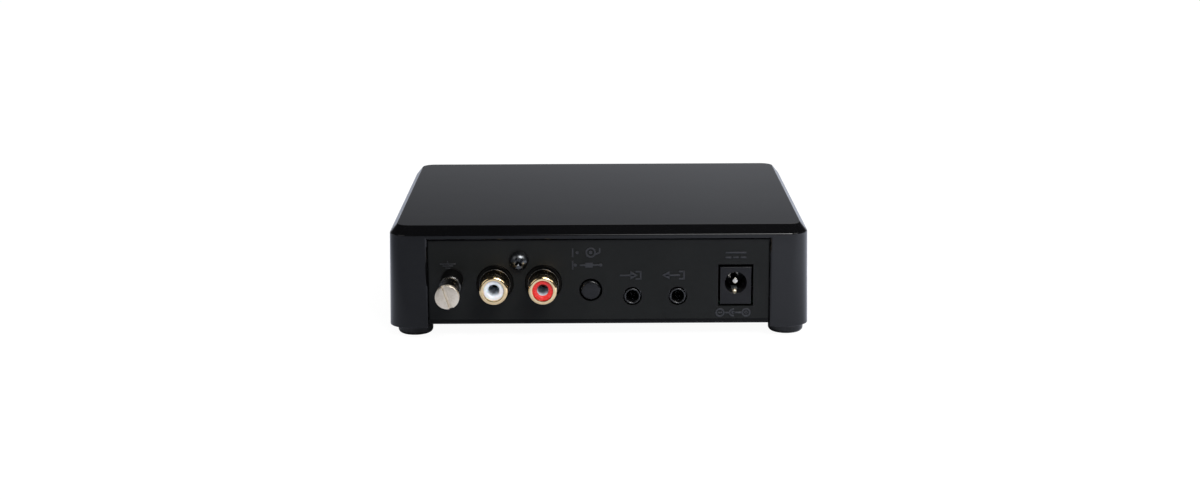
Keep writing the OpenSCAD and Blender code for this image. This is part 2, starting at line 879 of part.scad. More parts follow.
module left_phono_shell() phono_shell(phono_xs[0]);

module right_phono_shell() phono_shell(phono_xs[1]);

module phono_insert(x, tint) {
    face_s = phono_reach - phono_insert_set;
    dish = 0.5;
    contact_d = phono_pin_hole_d + 2 * (phono_contact_wall + seat_gap);
    color(tint)
    on_panel(x, phono_z)
        difference() {
            post(phono_insert_d, phono_back_s, face_s);
            post(phono_pin_hole_d, face_s - phono_mouth - overrun, face_s + overrun);
            post(contact_d, phono_back_s - overrun, face_s - phono_mouth);
            translate([0, 0, face_s - dish])
                cylinder(d1 = phono_pin_hole_d, d2 = phono_pin_hole_d + 2 * dish + 0.2, h = dish + 0.1);
        }
}

module left_phono_insert() phono_insert(phono_xs[0], "#e9ecef");

module right_phono_insert() phono_insert(phono_xs[1], "#d2302c");

// A spring sleeve for the plug's pin, closed behind, with a rod to a tail in the board
module phono_contact(x) {
    face_s = phono_reach - phono_insert_set - phono_mouth;
    contact_d = phono_pin_hole_d + 2 * phono_contact_wall;
    color(tin)
    on_panel(x, phono_z)
        difference() {
            union() {
                post(contact_d, phono_back_s, face_s);
                post(phono_rod_d, phono_rear_s - tail_t, phono_back_s + overrun);
                translate([-tail_w / 2, -phono_h - pin_drop, phono_rear_s - tail_t])
                    cube([tail_w, phono_h + pin_drop, tail_t]);
            }
            post(phono_pin_hole_d, face_s - phono_pin_depth, face_s + overrun);
        }
}

module left_phono_contact() phono_contact(phono_xs[0]);

module right_phono_contact() phono_contact(phono_xs[1]);

module phono_fixing_screw() {
    color(shell_black)
    on_panel(phono_x, phono_screw_z)
        pan_screw(phono_screw_d - 2 * pilot_gap, phono_screw_l, phono_screw_head_d,
            phono_screw_head_h);
}

// ---------------------------------------------------------------- line sockets

module line_socket(x) {
    body_h = 2 * line_h;
    color(socket_black)
    difference() {
        union() {
            translate([x - line_body_w / 2, panel_inner_y, board_top_z])
                cube([line_body_w, line_depth, body_h]);
            on_panel(x, line_z)
                post(line_nose_d, -panel_t, 0);
        }
        on_panel(x, line_z)
            post(line_bore_d, -line_bore_depth, overrun);
        // grooves for the contact strips along both flanks
        for (side = [-1, 1])
            translate([x + side * line_body_w / 2 - line_strip_t, panel_inner_y + line_groove_start,
                    board_top_z - overrun])
                cube([2 * line_strip_t, line_groove_l, line_h + overrun]);
    }
}

module line_in_socket() line_socket(line_in_x);

module line_out_socket() line_socket(line_out_x);

// Flat spring strips in the flanks, each with two pins through the board
module line_contacts(x) {
    play = 0.3;
    color(tin)
    for (side = [-1, 1])
        translate([x + side * (line_body_w - line_strip_t) / 2 - line_strip_t / 2, panel_inner_y, 0]) {
            translate([0, line_groove_start + play, board_top_z])
                cube([line_strip_t, line_groove_l - 2 * play, line_h - play]);
            for (y = line_pin_ys)
                translate([0, y - line_pin_w / 2, board_top_z - pin_drop])
                    cube([line_strip_t, line_pin_w, pin_drop + line_h / 2]);
        }
}

module line_in_contacts() line_contacts(line_in_x);

module line_out_contacts() line_contacts(line_out_x);

// ---------------------------------------------------------------- power socket

module power_socket() {
    barrel_d = power_w - 0.6;
    slot_w = power_blade_w + 2 * tail_t;
    color(socket_black)
    difference() {
        union() {
            translate([power_x - power_w / 2, panel_y, board_top_z])
                cube([power_w, power_flange, power_face_h]);
            translate([power_x - power_w / 2, panel_y, board_top_z])
                cube([power_w, power_depth, power_hole_h]);
            on_panel(power_x, power_hole_z)
                post(barrel_d, -power_depth, 0);
        }
        on_panel(power_x, power_hole_z)
            post(power_hole_d, -power_hole_depth, overrun);
        // seat of the centre pin's root
        on_panel(power_x, power_hole_z)
            post(power_pin_root_d + 2 * seat_gap, -power_depth - overrun, 0);
        // slot of the spring contact in the floor of the hole
        translate([power_x - slot_w / 2, panel_y + power_flange,
                power_hole_z - power_hole_d / 2 - power_slot_drop])
            cube([slot_w, power_depth, power_slot_drop + 0.6]);
    }
}

module power_centre_pin() {
    tip = 0.5;
    r = power_pin_d / 2;
    root_r = power_pin_root_d / 2;
    color(tin)
    on_panel(power_x, power_hole_z)
        turned([
            [0, -power_depth - tail_t], [root_r, -power_depth - tail_t], [root_r, -power_hole_depth],
            [r, -power_hole_depth], [r, -power_pin_set - tip], [r - tip / 2, -power_pin_set],
            [0, -power_pin_set]
        ]);
}

// Flat spring in the floor of the hole, with its tail behind the socket
module power_spring_contact() {
    blade_z = power_hole_z - power_hole_d / 2 - power_slot_drop + slide_gap;
    start_y = panel_y + power_flange + slide_gap;
    color(tin)
    translate([power_x - power_blade_w / 2, 0, 0])
        union() {
            translate([0, start_y, blade_z])
                cube([power_blade_w, power_tail_y + tail_t - start_y, power_blade_t]);
            // crown that touches the plug's barrel
            translate([0, start_y + 2.2, blade_z + power_blade_t])
                cube([power_blade_w, 3, power_crown_h]);
            translate([0, power_tail_y, board_top_z - pin_drop])
                cube([power_blade_w, tail_t, blade_z - board_top_z + pin_drop + power_blade_t]);
        }
}

// ---------------------------------------------------------------- selector

module selector_button() {
    edge = 0.35;
    color(panel_black)
    translate([button_x, button_face_y, button_z])
        rotate([-90, 0, 0])
            difference() {
                turned([
                    [0, 0], [button_d / 2 - edge, 0], [button_d / 2, edge],
                    [button_d / 2, button_l], [0, button_l]
                ]);
                translate([-plunger_side / 2, -plunger_side / 2, button_l - plunger_root])
                    cube([plunger_side, plunger_side, plunger_root + overrun]);
            }
}

// Square rod from inside the button to inside the switch
module selector_plunger() {
    inside_switch = 4;
    rod_l = switch_face_y - button_back_y + plunger_root + inside_switch;
    color("#d8d6cf")
    union() {
        translate([button_x - plunger_side / 2, button_back_y - plunger_root,
                button_z - plunger_side / 2])
            cube([plunger_side, rod_l, plunger_side]);
        translate([button_x - button_d / 2, button_back_y, button_z - plunger_side / 2])
            cube([button_d, plunger_shoulder, plunger_side]);
    }
}

// Open coil between the plunger's shoulder and the switch
module selector_spring() {
    start_y = spring_start_y + spring_wire / 2;
    end_y = switch_face_y - spring_wire / 2;
    sides = 6;
    turn_steps = 14;
    steps = spring_turns * turn_steps;
    rise = (end_y - start_y) / steps;
    function ring_point(i, k) =
        let (a = 360 * i / turn_steps, b = 360 * k / sides, r = spring_r + spring_wire / 2 * cos(b))
        [button_x + r * cos(a), start_y + rise * i + spring_wire / 2 * sin(b), button_z + r * sin(a)];
    points = [for (i = [0:steps], k = [0:sides - 1]) ring_point(i, k)];
    last = steps * sides;
    faces = concat(
        [[for (k = [sides - 1:-1:0]) k]],
        [for (i = [0:steps - 1], k = [0:sides - 1])
            let (a = i * sides + k, b = i * sides + (k + 1) % sides)
            [a, b, b + sides, a + sides]],
        [[for (k = [0:sides - 1]) last + k]]);
    color(tin)
    polyhedron(points = points, faces = faces, convexity = 4);
}

module selector_switch() {
    bore_side = plunger_side + 2 * slide_gap;
    body_h = button_h + switch_w / 2 - 0.3;
    color("#23262b")
    union() {
        difference() {
            translate([button_x - switch_w / 2, switch_face_y, board_top_z])
                cube([switch_w, switch_depth, body_h]);
            translate([button_x - bore_side / 2, switch_face_y - overrun, button_z - bore_side / 2])
                cube([bore_side, switch_depth - 2 + overrun, bore_side]);
        }
        for (p = switch_pins)
            board_pin(p[0], p[1], overrun);
    }
}

// ---------------------------------------------------------------- ground terminal

module ground_bush() {
    color(socket_black)
    on_panel(ground_x, ground_z)
        difference() {
            turned([
                [0, -ground_tail_l], [ground_tail_d / 2, -ground_tail_l], [ground_tail_d / 2, 0],
                [ground_bush_d / 2, 0], [ground_bush_d / 2, ground_bush_l], [0, ground_bush_l]
            ]);
            post(ground_shank_d + 2 * screw_gap, -ground_tail_l + 1.5, ground_bush_l + overrun);
        }
}

module ground_washer() {
    color(tin)
    on_panel(ground_x, ground_z)
        tube(ground_washer_d, ground_shank_d + 2 * slide_gap, ground_washer_s,
            ground_washer_s + ground_washer_t);
}

module ground_thumbscrew() {
    teeth = 28;
    tooth = 0.22;
    grip_r = ground_grip_d / 2;
    face_r = ground_face_d / 2;
    shank_back_s = -ground_tail_l + 2.5;
    edge = 0.2;
    color(steel)
    on_panel(ground_x, ground_z)
        difference() {
            union() {
                post(ground_shank_d, shank_back_s, ground_head_s + overrun);
                // knurled grip
                translate([0, 0, ground_head_s])
                    linear_extrude(ground_face_s - ground_head_s + edge)
                        polygon([for (i = [0:2 * teeth - 1])
                            let (r = grip_r - (i % 2) * tooth, a = 180 * i / teeth)
                            [r * cos(a), r * sin(a)]]);
                turned([
                    [0, ground_face_s], [face_r, ground_face_s], [face_r, ground_tip_s - edge],
                    [face_r - edge, ground_tip_s], [0, ground_tip_s]
                ]);
            }
            translate([0, 0, ground_tip_s - ground_slot_depth])
                rotate(ground_slot_angle)
                    translate([-ground_face_d, -ground_slot_w / 2, 0])
                        cube([2 * ground_face_d, ground_slot_w, ground_slot_depth + overrun]);
        }
}

module ground_nut() {
    nut_s = -panel_t - ground_tag_t - ground_nut_t;
    color(tin)
    on_panel(ground_x, ground_z)
        difference() {
            translate([0, 0, nut_s])
                cylinder(d = ground_nut_af / cos(30), h = ground_nut_t, $fn = 6);
            post(ground_tail_d + 2 * screw_gap, nut_s - overrun, nut_s + ground_nut_t + overrun);
        }
}

// Ring between panel and nut, with a tongue that hangs down behind it
module ground_solder_tag() {
    tag_s = -panel_t - ground_tag_t;
    drop = ground_nut_af / 2 + 2.6;
    color(tin)
    on_panel(ground_x, ground_z)
        difference() {
            union() {
                post(ground_nut_af, tag_s, tag_s + ground_tag_t);
                translate([-1.2, -drop, tag_s])
                    cube([2.4, drop, ground_tag_t]);
            }
            post(ground_tail_d + 2 * screw_gap, tag_s - overrun, tag_s + ground_tag_t + overrun);
        }
}

// Short lead from the tag's tongue, bent down into the board
module ground_lead() {
    wire_d = 1.4;
    bend_r = 2;
    start_z = ground_z - ground_nut_af / 2 - 1.5;
    start_y = panel_inner_y + ground_tag_t;
    run = 2;
    color("#2f7d3a")
    translate([ground_x, start_y, start_z]) {
        rotate([-90, 0, 0])
            cylinder(d = wire_d, h = run);
        translate([0, run, -bend_r])
            rotate([90, 0, 90])
                rotate_extrude(angle = 90)
                    translate([bend_r, 0])
                        circle(d = wire_d);
        translate([0, run + bend_r, board_top_z - start_z])
            cylinder(d = wire_d, h = start_z - bend_r - board_top_z);
    }
}

// ---------------------------------------------------------------- components

// Place on the board, counted from its centre line and its rear edge
module on_board(x, y) {
    translate([x, board_rear_y + y, board_top_z])
        children();
}

// A can with a rolled groove near its foot
module can(d, h) {
    groove = 0.5;
    difference() {
        cylinder(d = d, h = h);
        translate([0, 0, 2])
            difference() {
                cylinder(d = d + 1, h = groove);
                translate([0, 0, -overrun])
                    cylinder(d = d - 2 * groove, h = groove + 2 * overrun);
            }
    }
}

module supply_capacitors() {
    color("#26324a")
    for (i = [0, 1])
        on_board(supply_caps_at[0] + i * (supply_cap_d + board_gap), supply_caps_at[1])
            can(supply_cap_d, supply_cap_h);
}

module signal_capacitors() {
    color("#26324a")
    for (i = [0:3])
        on_board(signal_caps_at[0] + i * (signal_cap_d + 2 * board_gap), signal_caps_at[1])
            can(signal_cap_d, signal_cap_h);
}

module film_capacitors() {
    color("#b8352c")
    for (i = [0:3])
        on_board(film_caps_at[0] + i * (film_cap_l + 2 * board_gap), film_caps_at[1])
            translate([-film_cap_l / 2, -film_cap_w / 2, 0])
                cube([film_cap_l, film_cap_w, film_cap_h]);
}

// Eight-pin chips: a body on two rows of pins
module amplifier_chips() {
    pin_w = 0.5;
    pin_top = 2.2;
    arm_t = 0.3;
    color("#151517") {
        for (x = chips_x)
            on_board(x, chips_y)
                translate([-chip_l / 2, -chip_w / 2, chip_stand])
                    cube([chip_l, chip_w, chip_h]);
        for (p = chip_pins) {
            side = sign(p[1] - board_rear_y - chips_y);
            translate([p[0] - pin_w / 2, p[1] - pin_w / 2, board_top_z - pin_drop])
                cube([pin_w, pin_w, pin_drop + pin_top]);
            translate([p[0] - pin_w / 2, p[1] + (side > 0 ? -0.8 : -0.25), board_top_z + pin_top - arm_t])
                cube([pin_w, 1.05, arm_t]);
        }
    }
}

// Bodies lying on the board, each with a wire bent down at both ends
module resistors() {
    lap = 0.2;
    color("#b9c7d8") {
        for (i = [0:resistor_count - 1])
            on_board(resistors_at[0] + i * resistor_step, resistors_at[1])
                translate([0, 0, resistor_d / 2])
                    rotate([-90, 0, 0]) {
                        translate([0, 0, -resistor_l / 2])
                            cylinder(d = resistor_d, h = resistor_l);
                        for (from = [resistor_l / 2 - lap, -resistor_l / 2 - resistor_bend])
                            translate([0, 0, from])
                                cylinder(d = resistor_wire, h = resistor_bend + lap);
                    }
        for (p = resistor_pins)
            translate([p[0], p[1], board_top_z - pin_drop])
                cylinder(d = resistor_wire, h = pin_drop + resistor_d / 2);
    }
}

// Upright regulator: body, metal tab and three leads
module voltage_regulator() {
    w = 10;
    body_h = 8.6;
    body_t = 3;
    tab_t = 1.3;
    lead_h = 1;
    color("#2a2a2c") {
        on_board(regulator_at[0], regulator_at[1]) {
            translate([-w / 2, 0, lead_h])
                cube([w, body_t, body_h]);
            difference() {
                translate([-w / 2, body_t, lead_h])
                    cube([w, tab_t, regulator_h - lead_h]);
                translate([0, body_t - overrun, regulator_h - 2.8])
                    rotate([-90, 0, 0])
                        cylinder(d = 3.6, h = tab_t + 2 * overrun);
            }
        }
        for (p = regulator_pins)
            translate([p[0] - pin_r, p[1] - 0.25, board_top_z - pin_drop])
                cube([2 * pin_r, 0.5, pin_drop + lead_h]);
    }
}

module power_light() {
    holder = 5;
    color("#3a6fd8")
    translate([light_x, board_front_y, light_z])
        rotate([90, 0, 0]) {
            translate([0, 0, 0.5])
                cylinder(d = light_d, h = 3.5);
            translate([-holder / 2, -light_h, 1])
                cube([holder, light_h + light_d / 2 + 1, holder]);
        }
}

// Clear rod from the light through the front wall, with a flange inside it
module light_pipe() {
    flange_t = 1;
    flange_edge = 1;
    end_y = front_y - draft * (light_z - foot_z) / wall_h + 0.2;
    start_y = board_front_y;
    color("#cfe3f5")
    union() {
        translate([light_x, start_y, light_z])
            rotate([-90, 0, 0])
                cylinder(d = light_d, h = end_y - start_y);
        translate([light_x, inner_front_y - flange_t, light_z])
            rotate([-90, 0, 0])
                cylinder(d = light_d + 2 * flange_edge, h = flange_t);
    }
}

top_shell();
bottom_cover();
case_screws();
feet();
rear_panel();
circuit_board();
board_screws();
phono_housing();
left_phono_shell();
right_phono_shell();
left_phono_insert();
right_phono_insert();
left_phono_contact();
right_phono_contact();
phono_fixing_screw();
line_in_socket();
line_out_socket();
line_in_contacts();
line_out_contacts();
power_socket();
power_centre_pin();
power_spring_contact();
selector_button();
selector_plunger();
selector_spring();
selector_switch();
ground_bush();
ground_washer();
ground_thumbscrew();
ground_nut();
ground_solder_tag();
ground_lead();
supply_capacitors();
signal_capacitors();
film_capacitors();
amplifier_chips();
resistors();
voltage_regulator();
power_light();
light_pipe();
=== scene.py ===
"""A small gloss-black phono preamp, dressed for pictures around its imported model.

Sizes in the classes are in millimetres; meshes are put in place in metres.
"""
import logging
import math
from dataclasses import dataclass
from enum import Enum
from functools import lru_cache

import bmesh
import bpy
from bmesh.types import BMEdge, BMesh, BMFace, BMVert
from bpy.types import ID, Material, Mesh, Node, NodeSocket, NodeTree, Object
from mathutils import Matrix, Vector


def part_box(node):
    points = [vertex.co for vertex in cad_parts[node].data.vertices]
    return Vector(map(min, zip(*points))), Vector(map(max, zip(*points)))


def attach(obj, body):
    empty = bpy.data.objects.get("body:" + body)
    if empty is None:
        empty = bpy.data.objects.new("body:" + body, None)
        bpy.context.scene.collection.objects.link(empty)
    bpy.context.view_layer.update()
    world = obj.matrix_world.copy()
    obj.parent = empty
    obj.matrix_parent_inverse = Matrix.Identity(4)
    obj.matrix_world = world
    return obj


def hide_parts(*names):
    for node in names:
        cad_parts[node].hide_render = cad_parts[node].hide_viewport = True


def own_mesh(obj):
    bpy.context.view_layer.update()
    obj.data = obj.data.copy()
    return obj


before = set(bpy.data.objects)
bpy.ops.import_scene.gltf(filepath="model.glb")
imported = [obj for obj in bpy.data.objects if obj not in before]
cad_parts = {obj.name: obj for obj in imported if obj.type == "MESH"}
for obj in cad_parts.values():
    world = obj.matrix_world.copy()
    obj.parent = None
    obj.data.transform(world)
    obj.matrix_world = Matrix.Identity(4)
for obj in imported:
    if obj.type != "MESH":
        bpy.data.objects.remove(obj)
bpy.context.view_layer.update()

MM = 0.001
LOG = logging.getLogger("preamp")

# the case's own planes, in mm
PANEL_Y = -40.5
PANEL_T = 2.5
CENTRE_Y = 10.0
COVER_TOP_Z = 5.9
OPENING_HALF = 49.4

# places on the panel: across it, and above the ground, in mm
BOARD_TOP_Z = 9.6
PHONO_X = -0.466 * OPENING_HALF
PHONO_XS = (PHONO_X - 7.0, PHONO_X + 7.0)
PHONO_Z = BOARD_TOP_Z + 6.5
PHONO_SCREW_Z = PHONO_Z + 6.8
LINE_XS = (0.1964 * OPENING_HALF, 0.4622 * OPENING_HALF)
LINE_Z = BOARD_TOP_Z + 2.5
BUTTON_X = -0.047 * OPENING_HALF
BUTTON_Z = BOARD_TOP_Z + 4.4
POWER_X = 0.8012 * OPENING_HALF
POWER_TOP_Z = BOARD_TOP_Z + 11.0
POWER_HOLE_Z = BOARD_TOP_Z + 6.35
GROUND_X = -0.8573 * OPENING_HALF
GROUND_Z = BOARD_TOP_Z + 7.7


class Body(Enum):
    """The bodies that pieces ride on."""

    ROOT = "root"
    SELECTOR = "selector"
    CARRIER = "screw_carrier"
    GROUND_SCREW = "ground_screw"


# ---------------------------------------------------------------- shaders


def to_linear(hex_colour: str) -> tuple[float, float, float, float]:
    """Turns an sRGB hex colour to linear light.

    Args:
        hex_colour: the colour as "#rrggbb".

    Returns:
        Linear red, green, blue and an alpha of 1.
    """
    parts = [int(hex_colour[i:i + 2], 16) / 255 for i in (1, 3, 5)]
    red, green, blue = [p / 12.92 if p <= 0.04045 else ((p + 0.055) / 1.055) ** 2.4
                        for p in parts]
    return red, green, blue, 1.0


def per_metre(size_mm: float) -> float:
    """Returns the texture scale, in repeats for each metre, of a size in millimetres."""
    return 1 / (size_mm * MM)


def add_node(tree: NodeTree, kind: str, inputs: dict | None = None,
             **settings: object) -> Node:
    """Adds a node with its settings, values and links.

    Args:
        tree: the node tree that gets the node.
        kind: the node's type name.
        inputs: what each input gets, by its name or place: a value, another node's output, or
            another node for the first of its outputs.
        settings: properties of the node itself.

    Returns:
        The new node.
    """
    new = tree.nodes.new(kind)
    for key, value in settings.items():
        setattr(new, key, value)
    for key, value in (inputs or {}).items():
        source = value.outputs[0] if isinstance(value, Node) else value
        if isinstance(source, NodeSocket):
            tree.links.new(source, new.inputs[key])
        else:
            new.inputs[key].default_value = source
    return new


def blank_material(name: str) -> tuple[Material, NodeTree, NodeSocket]:
    """Starts a material.

    Args:
        name: the material's name.

    Returns:
        The material, its emptied node tree, and the output of its object coordinates.
    """
    material = bpy.data.materials.new(name)
    material.use_nodes = True
    tree = material.node_tree
    tree.nodes.clear()
    return material, tree, add_node(tree, "ShaderNodeTexCoord").outputs["Object"]


@dataclass(frozen=True)
class Blots:
    """A cloudy pattern of one real size, in which finer octaves lie."""

    size_mm: float
    detail: float = 2.0
    fineness: float = 0.5
    stretch: float = 1.0

    def draw(self, tree: NodeTree, place: NodeSocket) -> NodeSocket:
        """Adds the pattern.

        Args:
            tree: the node tree.
            place: the coordinates.

        Returns:
            The pattern's value, from 0 to 1.
        """
        laid = add_node(tree, "ShaderNodeMapping", {
            "Vector": place, "Scale": (1 / self.stretch, 1.0, 1.0)})
        return add_node(tree, "ShaderNodeTexNoise", {
            "Vector": laid, "Scale": per_metre(self.size_mm), "Detail": self.detail,
            "Roughness": self.fineness}).outputs["Fac"]


@dataclass(frozen=True)
class TurnedRings:
    """Fine rings about an axis across the panel, as a lathe tool leaves them."""

    ring_mm: float
    axis_x: float
    axis_z: float
    waver: float = 1.5
    # the wave texture's own rings for each unit of scale
    rings_a_unit: float = 20.0

    def draw(self, tree: NodeTree, place: NodeSocket) -> NodeSocket:
        """Adds the pattern.

        Args:
            tree: the node tree.
            place: the coordinates.

        Returns:
            The pattern's value, from 0 to 1.
        """
        on_axis = add_node(tree, "ShaderNodeMapping", {
            "Vector": place, "Location": (-self.axis_x * MM, 0.0, -self.axis_z * MM)})
        return add_node(tree, "ShaderNodeTexWave", {
            "Vector": on_axis, "Scale": per_metre(self.ring_mm) / self.rings_a_unit,
            "Distortion": self.waver, "Detail": 2.0, "Detail Scale": 2.0},
            wave_type="RINGS", rings_direction="SPHERICAL").outputs["Fac"]


@dataclass(frozen=True)
class CopperRuns:
    """Copper under solder mask: thin bright lines between wide fields."""

    field_mm: float = 30.0
    line_share: float = 0.02

    def draw(self, tree: NodeTree, place: NodeSocket) -> NodeSocket:
        """Adds the pattern.

        Args:
            tree: the node tree.
            place: the coordinates.

        Returns:
            The pattern's value, 0 in a field and 1 on a line.
        """
        dark, bright = (0.0, 0.0, 0.0, 1.0), (1.0, 1.0, 1.0, 1.0)
        return add_node(tree, "ShaderNodeTexBrick", {
            "Vector": place, "Scale": per_metre(self.field_mm), "Mortar Size": self.line_share,
            "Color1": dark, "Color2": dark, "Mortar": bright}).outputs["Color"]


Pattern = Blots | TurnedRings | CopperRuns


# ---------------------------------------------------------------- finishes


@dataclass(frozen=True)
class Finish:
    """What all finishes share: two tones, a roughness that follows a pattern, and a relief.

    A kind of finish says which patterns its making leaves, and what its shader adds.
    """

    name: str
    tone: str
    second_tone: str
    roughness: float
    roughness_spread: float = 0.08
    # the values of a pattern between which tones and roughness change
    tone_range: tuple[float, float] = (0.3, 0.7)
    gloss_range: tuple[float, float] = (0.3, 0.7)
    relief_roughens: bool = False
    blot_mm: float = 12.0
    blot_detail: float = 3.0
    blot_fineness: float = 0.5
    blot_stretch: float = 1.0
    grain_mm: float = 0.22
    grain_detail: float = 2.0
    grain_fineness: float = 0.5
    grain_depth_mm: float = 0.012
    ior: float = 1.5
    specular: float = 0.5

    def tones(self) -> Pattern:
        """Returns the pattern of the two tones."""
        return Blots(self.blot_mm, self.blot_detail, self.blot_fineness, self.blot_stretch)

    def relief(self) -> Pattern:
        """Returns the pattern of the relief."""
        return Blots(self.grain_mm, self.grain_detail, self.grain_fineness)

    def shader_inputs(self) -> dict[str, object]:
        """Returns what the shader gets beside colour, roughness and normal."""
        return {"IOR": self.ior, "Specular IOR Level": self.specular}

    def build(self) -> Material:
        """Builds the material.

        Returns:
            The material, in object coordinates.
        """
        material, tree, place = blank_material(self.name)
        tones, relief = self.tones().draw(tree, place), self.relief().draw(tree, place)
        rough = (self.roughness, self.roughness + self.roughness_spread)
        share, roughness = [add_node(tree, "ShaderNodeMapRange", dict(enumerate(values)))
                            for values in ((tones, *self.tone_range, 0.0, 1.0), (
                                relief if self.relief_roughens else tones, *self.gloss_range,
                                *rough))]
        colour = add_node(tree, "ShaderNodeMix", {
            0: share, 6: to_linear(self.tone), 7: to_linear(self.second_tone)}, data_type="RGBA")
        normal = add_node(tree, "ShaderNodeBump", {
            "Height": relief, "Distance": self.grain_depth_mm * MM, "Strength": 1.0})
        surface = add_node(tree, "ShaderNodeBsdfPrincipled", {
            "Base Color": colour.outputs[2], "Roughness": roughness, "Normal": normal,
            **self.shader_inputs()})
        add_node(tree, "ShaderNodeOutputMaterial", {"Surface": surface})
        return material


@dataclass(frozen=True)
class PolishedAbs(Finish):
    """Black ABS from a polished mould: a mirror with a trace of orange peel and wiping marks."""

    roughness_spread: float = 0.03
    # the wiping marks are drawn out along the case
    blot_mm: float = 14.0
    blot_detail: float = 4.0
    blot_stretch: float = 4.0
    # the orange peel
    grain_mm: float = 9.0
    grain_detail: float = 1.0
    grain_depth_mm: float = 0.0022
    ior: float = 1.52
    specular: float = 0.3


@dataclass(frozen=True)
class TexturedAbs(Finish):
    """ABS from a spark-eroded mould: a fine even grain that breaks reflections up."""

    # the grain is drawn at about twice its real size, as the real one is too fine to show
    grain_mm: float = 0.22
    grain_fineness: float = 0.6
    relief_roughens: bool = True
    glint: str = "#ffffff"

    def shader_inputs(self) -> dict[str, object]:
        """Returns what the shader gets, with the tint of its reflections."""
        return {**super().shader_inputs(), "Specular Tint": to_linear(self.glint)}


@dataclass(frozen=True)
class SatinNylon(Finish):
    """Moulded nylon: soft gloss, light that sinks in a little, faint flow marks."""

    roughness: float = 0.28
    roughness_spread: float = 0.1
    blot_mm: float = 1.6
    grain_mm: float = 0.25
    grain_depth_mm: float = 0.003
    ior: float = 1.53
    glow: float = 0.15
    glow_mm: float = 0.6

    def shader_inputs(self) -> dict[str, object]:
        """Returns what the shader gets, with the light that sinks in."""
        return {**super().shader_inputs(), "Subsurface Weight": self.glow,
                "Subsurface Scale": self.glow_mm * MM}


@dataclass(frozen=True)
class TurnedMetal(Finish):
    """Metal turned on a lathe and plated: fine rings about its axis, small stains."""

    roughness_spread: float = 0.06
    tone_range: tuple[float, float] = (0.45, 0.75)
    # the stains, and the tool's rings
    blot_mm: float = 1.1
    blot_detail: float = 4.0
    blot_fineness: float = 0.6
    grain_mm: float = 0.16
    grain_depth_mm: float = 0.0015
    axis_x: float = 0.0
    axis_z: float = 0.0
    metallic: float = 1.0

    def relief(self) -> Pattern:
        """Returns the tool's rings."""
        return TurnedRings(self.grain_mm, self.axis_x, self.axis_z)

    def shader_inputs(self) -> dict[str, object]:
        """Returns what the shader gets: a metal's IOR stays as it is."""
        return {"Metallic": self.metallic}


@dataclass(frozen=True)
class FootRubber(Finish):
    """Moulded natural rubber: a soft sheen, a little grey bloom, fine grain."""

    roughness_spread: float = 0.18
    # the bloom
    blot_mm: float = 2.5
    blot_detail: float = 4.0
    blot_fineness: float = 0.6
    grain_mm: float = 0.3
    grain_depth_mm: float = 0.02
    ior: float = 1.52
    specular: float = 0.35


@dataclass(frozen=True)
class SolderMask(Finish):
    """Glass-epoxy board under green solder mask: copper runs shine through as lighter bands."""

    roughness_spread: float = 0.15
    tone_range: tuple[float, float] = (0.0, 1.0)
    relief_roughens: bool = True
    grain_mm: float = 0.5
    grain_depth_mm: float = 0.01
    ior: float = 1.55

    def tones(self) -> Pattern:
        """Returns the copper runs."""
        return CopperRuns()


@dataclass(frozen=True)
class ClearAcrylic(Finish):
    """Polished acrylic that carries the light to the front: clear with a faint frost."""

    roughness: float = 0.08
    roughness_spread: float = 0.12
    relief_roughens: bool = True
    # the frost
    grain_mm: float = 0.4
    grain_detail: float = 3.0
    grain_depth_mm: float = 0.004
    ior: float = 1.49
    clearness: float = 0.85

    def shader_inputs(self) -> dict[str, object]:
        """Returns what the shader gets, with the light that goes through."""
        return {**super().shader_inputs(), "Transmission Weight": self.clearness}


@lru_cache(maxsize=None)
def material_of(finish: Finish) -> Material:
    """Builds a finish's material once and gives it again after that."""
    return finish.build()


SHELL_ABS = PolishedAbs("abs_polished_black", "#070708", "#0a0a0b", 0.045)
PANEL_ABS = TexturedAbs("abs_spark_eroded_black", "#111211", "#141514", 0.42, specular=0.18)
# painted shade: the panel's rounded lower edge is the panel's own moulding, made darker where it
# turns under
SHADED_EDGE_ABS = TexturedAbs("abs_lower_edge_painted_shade", "#050505", "#080808", 0.4, specular=0.12)
MARK_ABS = TexturedAbs("abs_raised_marks", "#222326", "#2a2b2e", 0.34, grain_depth_mm=0.004,
                       specular=0.35)
COVER_ABS = TexturedAbs("abs_cover_black", "#141415", "#19191a", 0.5)
SOCKET_PBT = TexturedAbs("pbt_socket_black", "#050505", "#080808", 0.11, 0.04, blot_mm=5.0,
                         grain_mm=0.6, grain_depth_mm=0.004, specular=0.08, glint="#fff0dc")
# painted highlight: the rims are the collars' own black moulding in a lighter tone, for the light
# along their front edge
LIT_RIM_PBT = TexturedAbs("pbt_rim_painted_highlight", "#1d1d1d", "#232322", 0.22, blot_mm=5.0, grain_mm=0.6,
                      grain_depth_mm=0.002, specular=0.9)
JACK_PBT = TexturedAbs("pbt_jack_black", "#0d0d0f", "#121214", 0.3, 0.1, blot_mm=4.0,
                       grain_mm=0.35, grain_depth_mm=0.006, specular=0.25)
NOSE_PBT = TexturedAbs("pbt_nose_black", "#0b0b0c", "#0f0f10", 0.2, blot_mm=4.0, grain_mm=0.35,
                       grain_depth_mm=0.004, specular=0.75)
BUTTON_ABS = TexturedAbs("abs_button_black", "#0b0b0c", "#0f0f10", 0.16, blot_mm=4.0,
                         grain_mm=0.4, grain_depth_mm=0.004, specular=0.32)
BUSH_PBT = TexturedAbs("pbt_bush_black", "#040404", "#070707", 0.34, 0.1, blot_mm=4.0,
                       grain_mm=0.4, grain_depth_mm=0.006, specular=0.08)
CHIP_EPOXY = TexturedAbs("epoxy_chip_black", "#141415", "#1b1b1d", 0.55, blot_mm=3.0,
                         grain_mm=0.15)
SLEEVE_PVC = TexturedAbs("pvc_can_sleeve_blue", "#171d33", "#1d2540", 0.3, blot_mm=6.0,
                         grain_mm=1.2, grain_depth_mm=0.01)
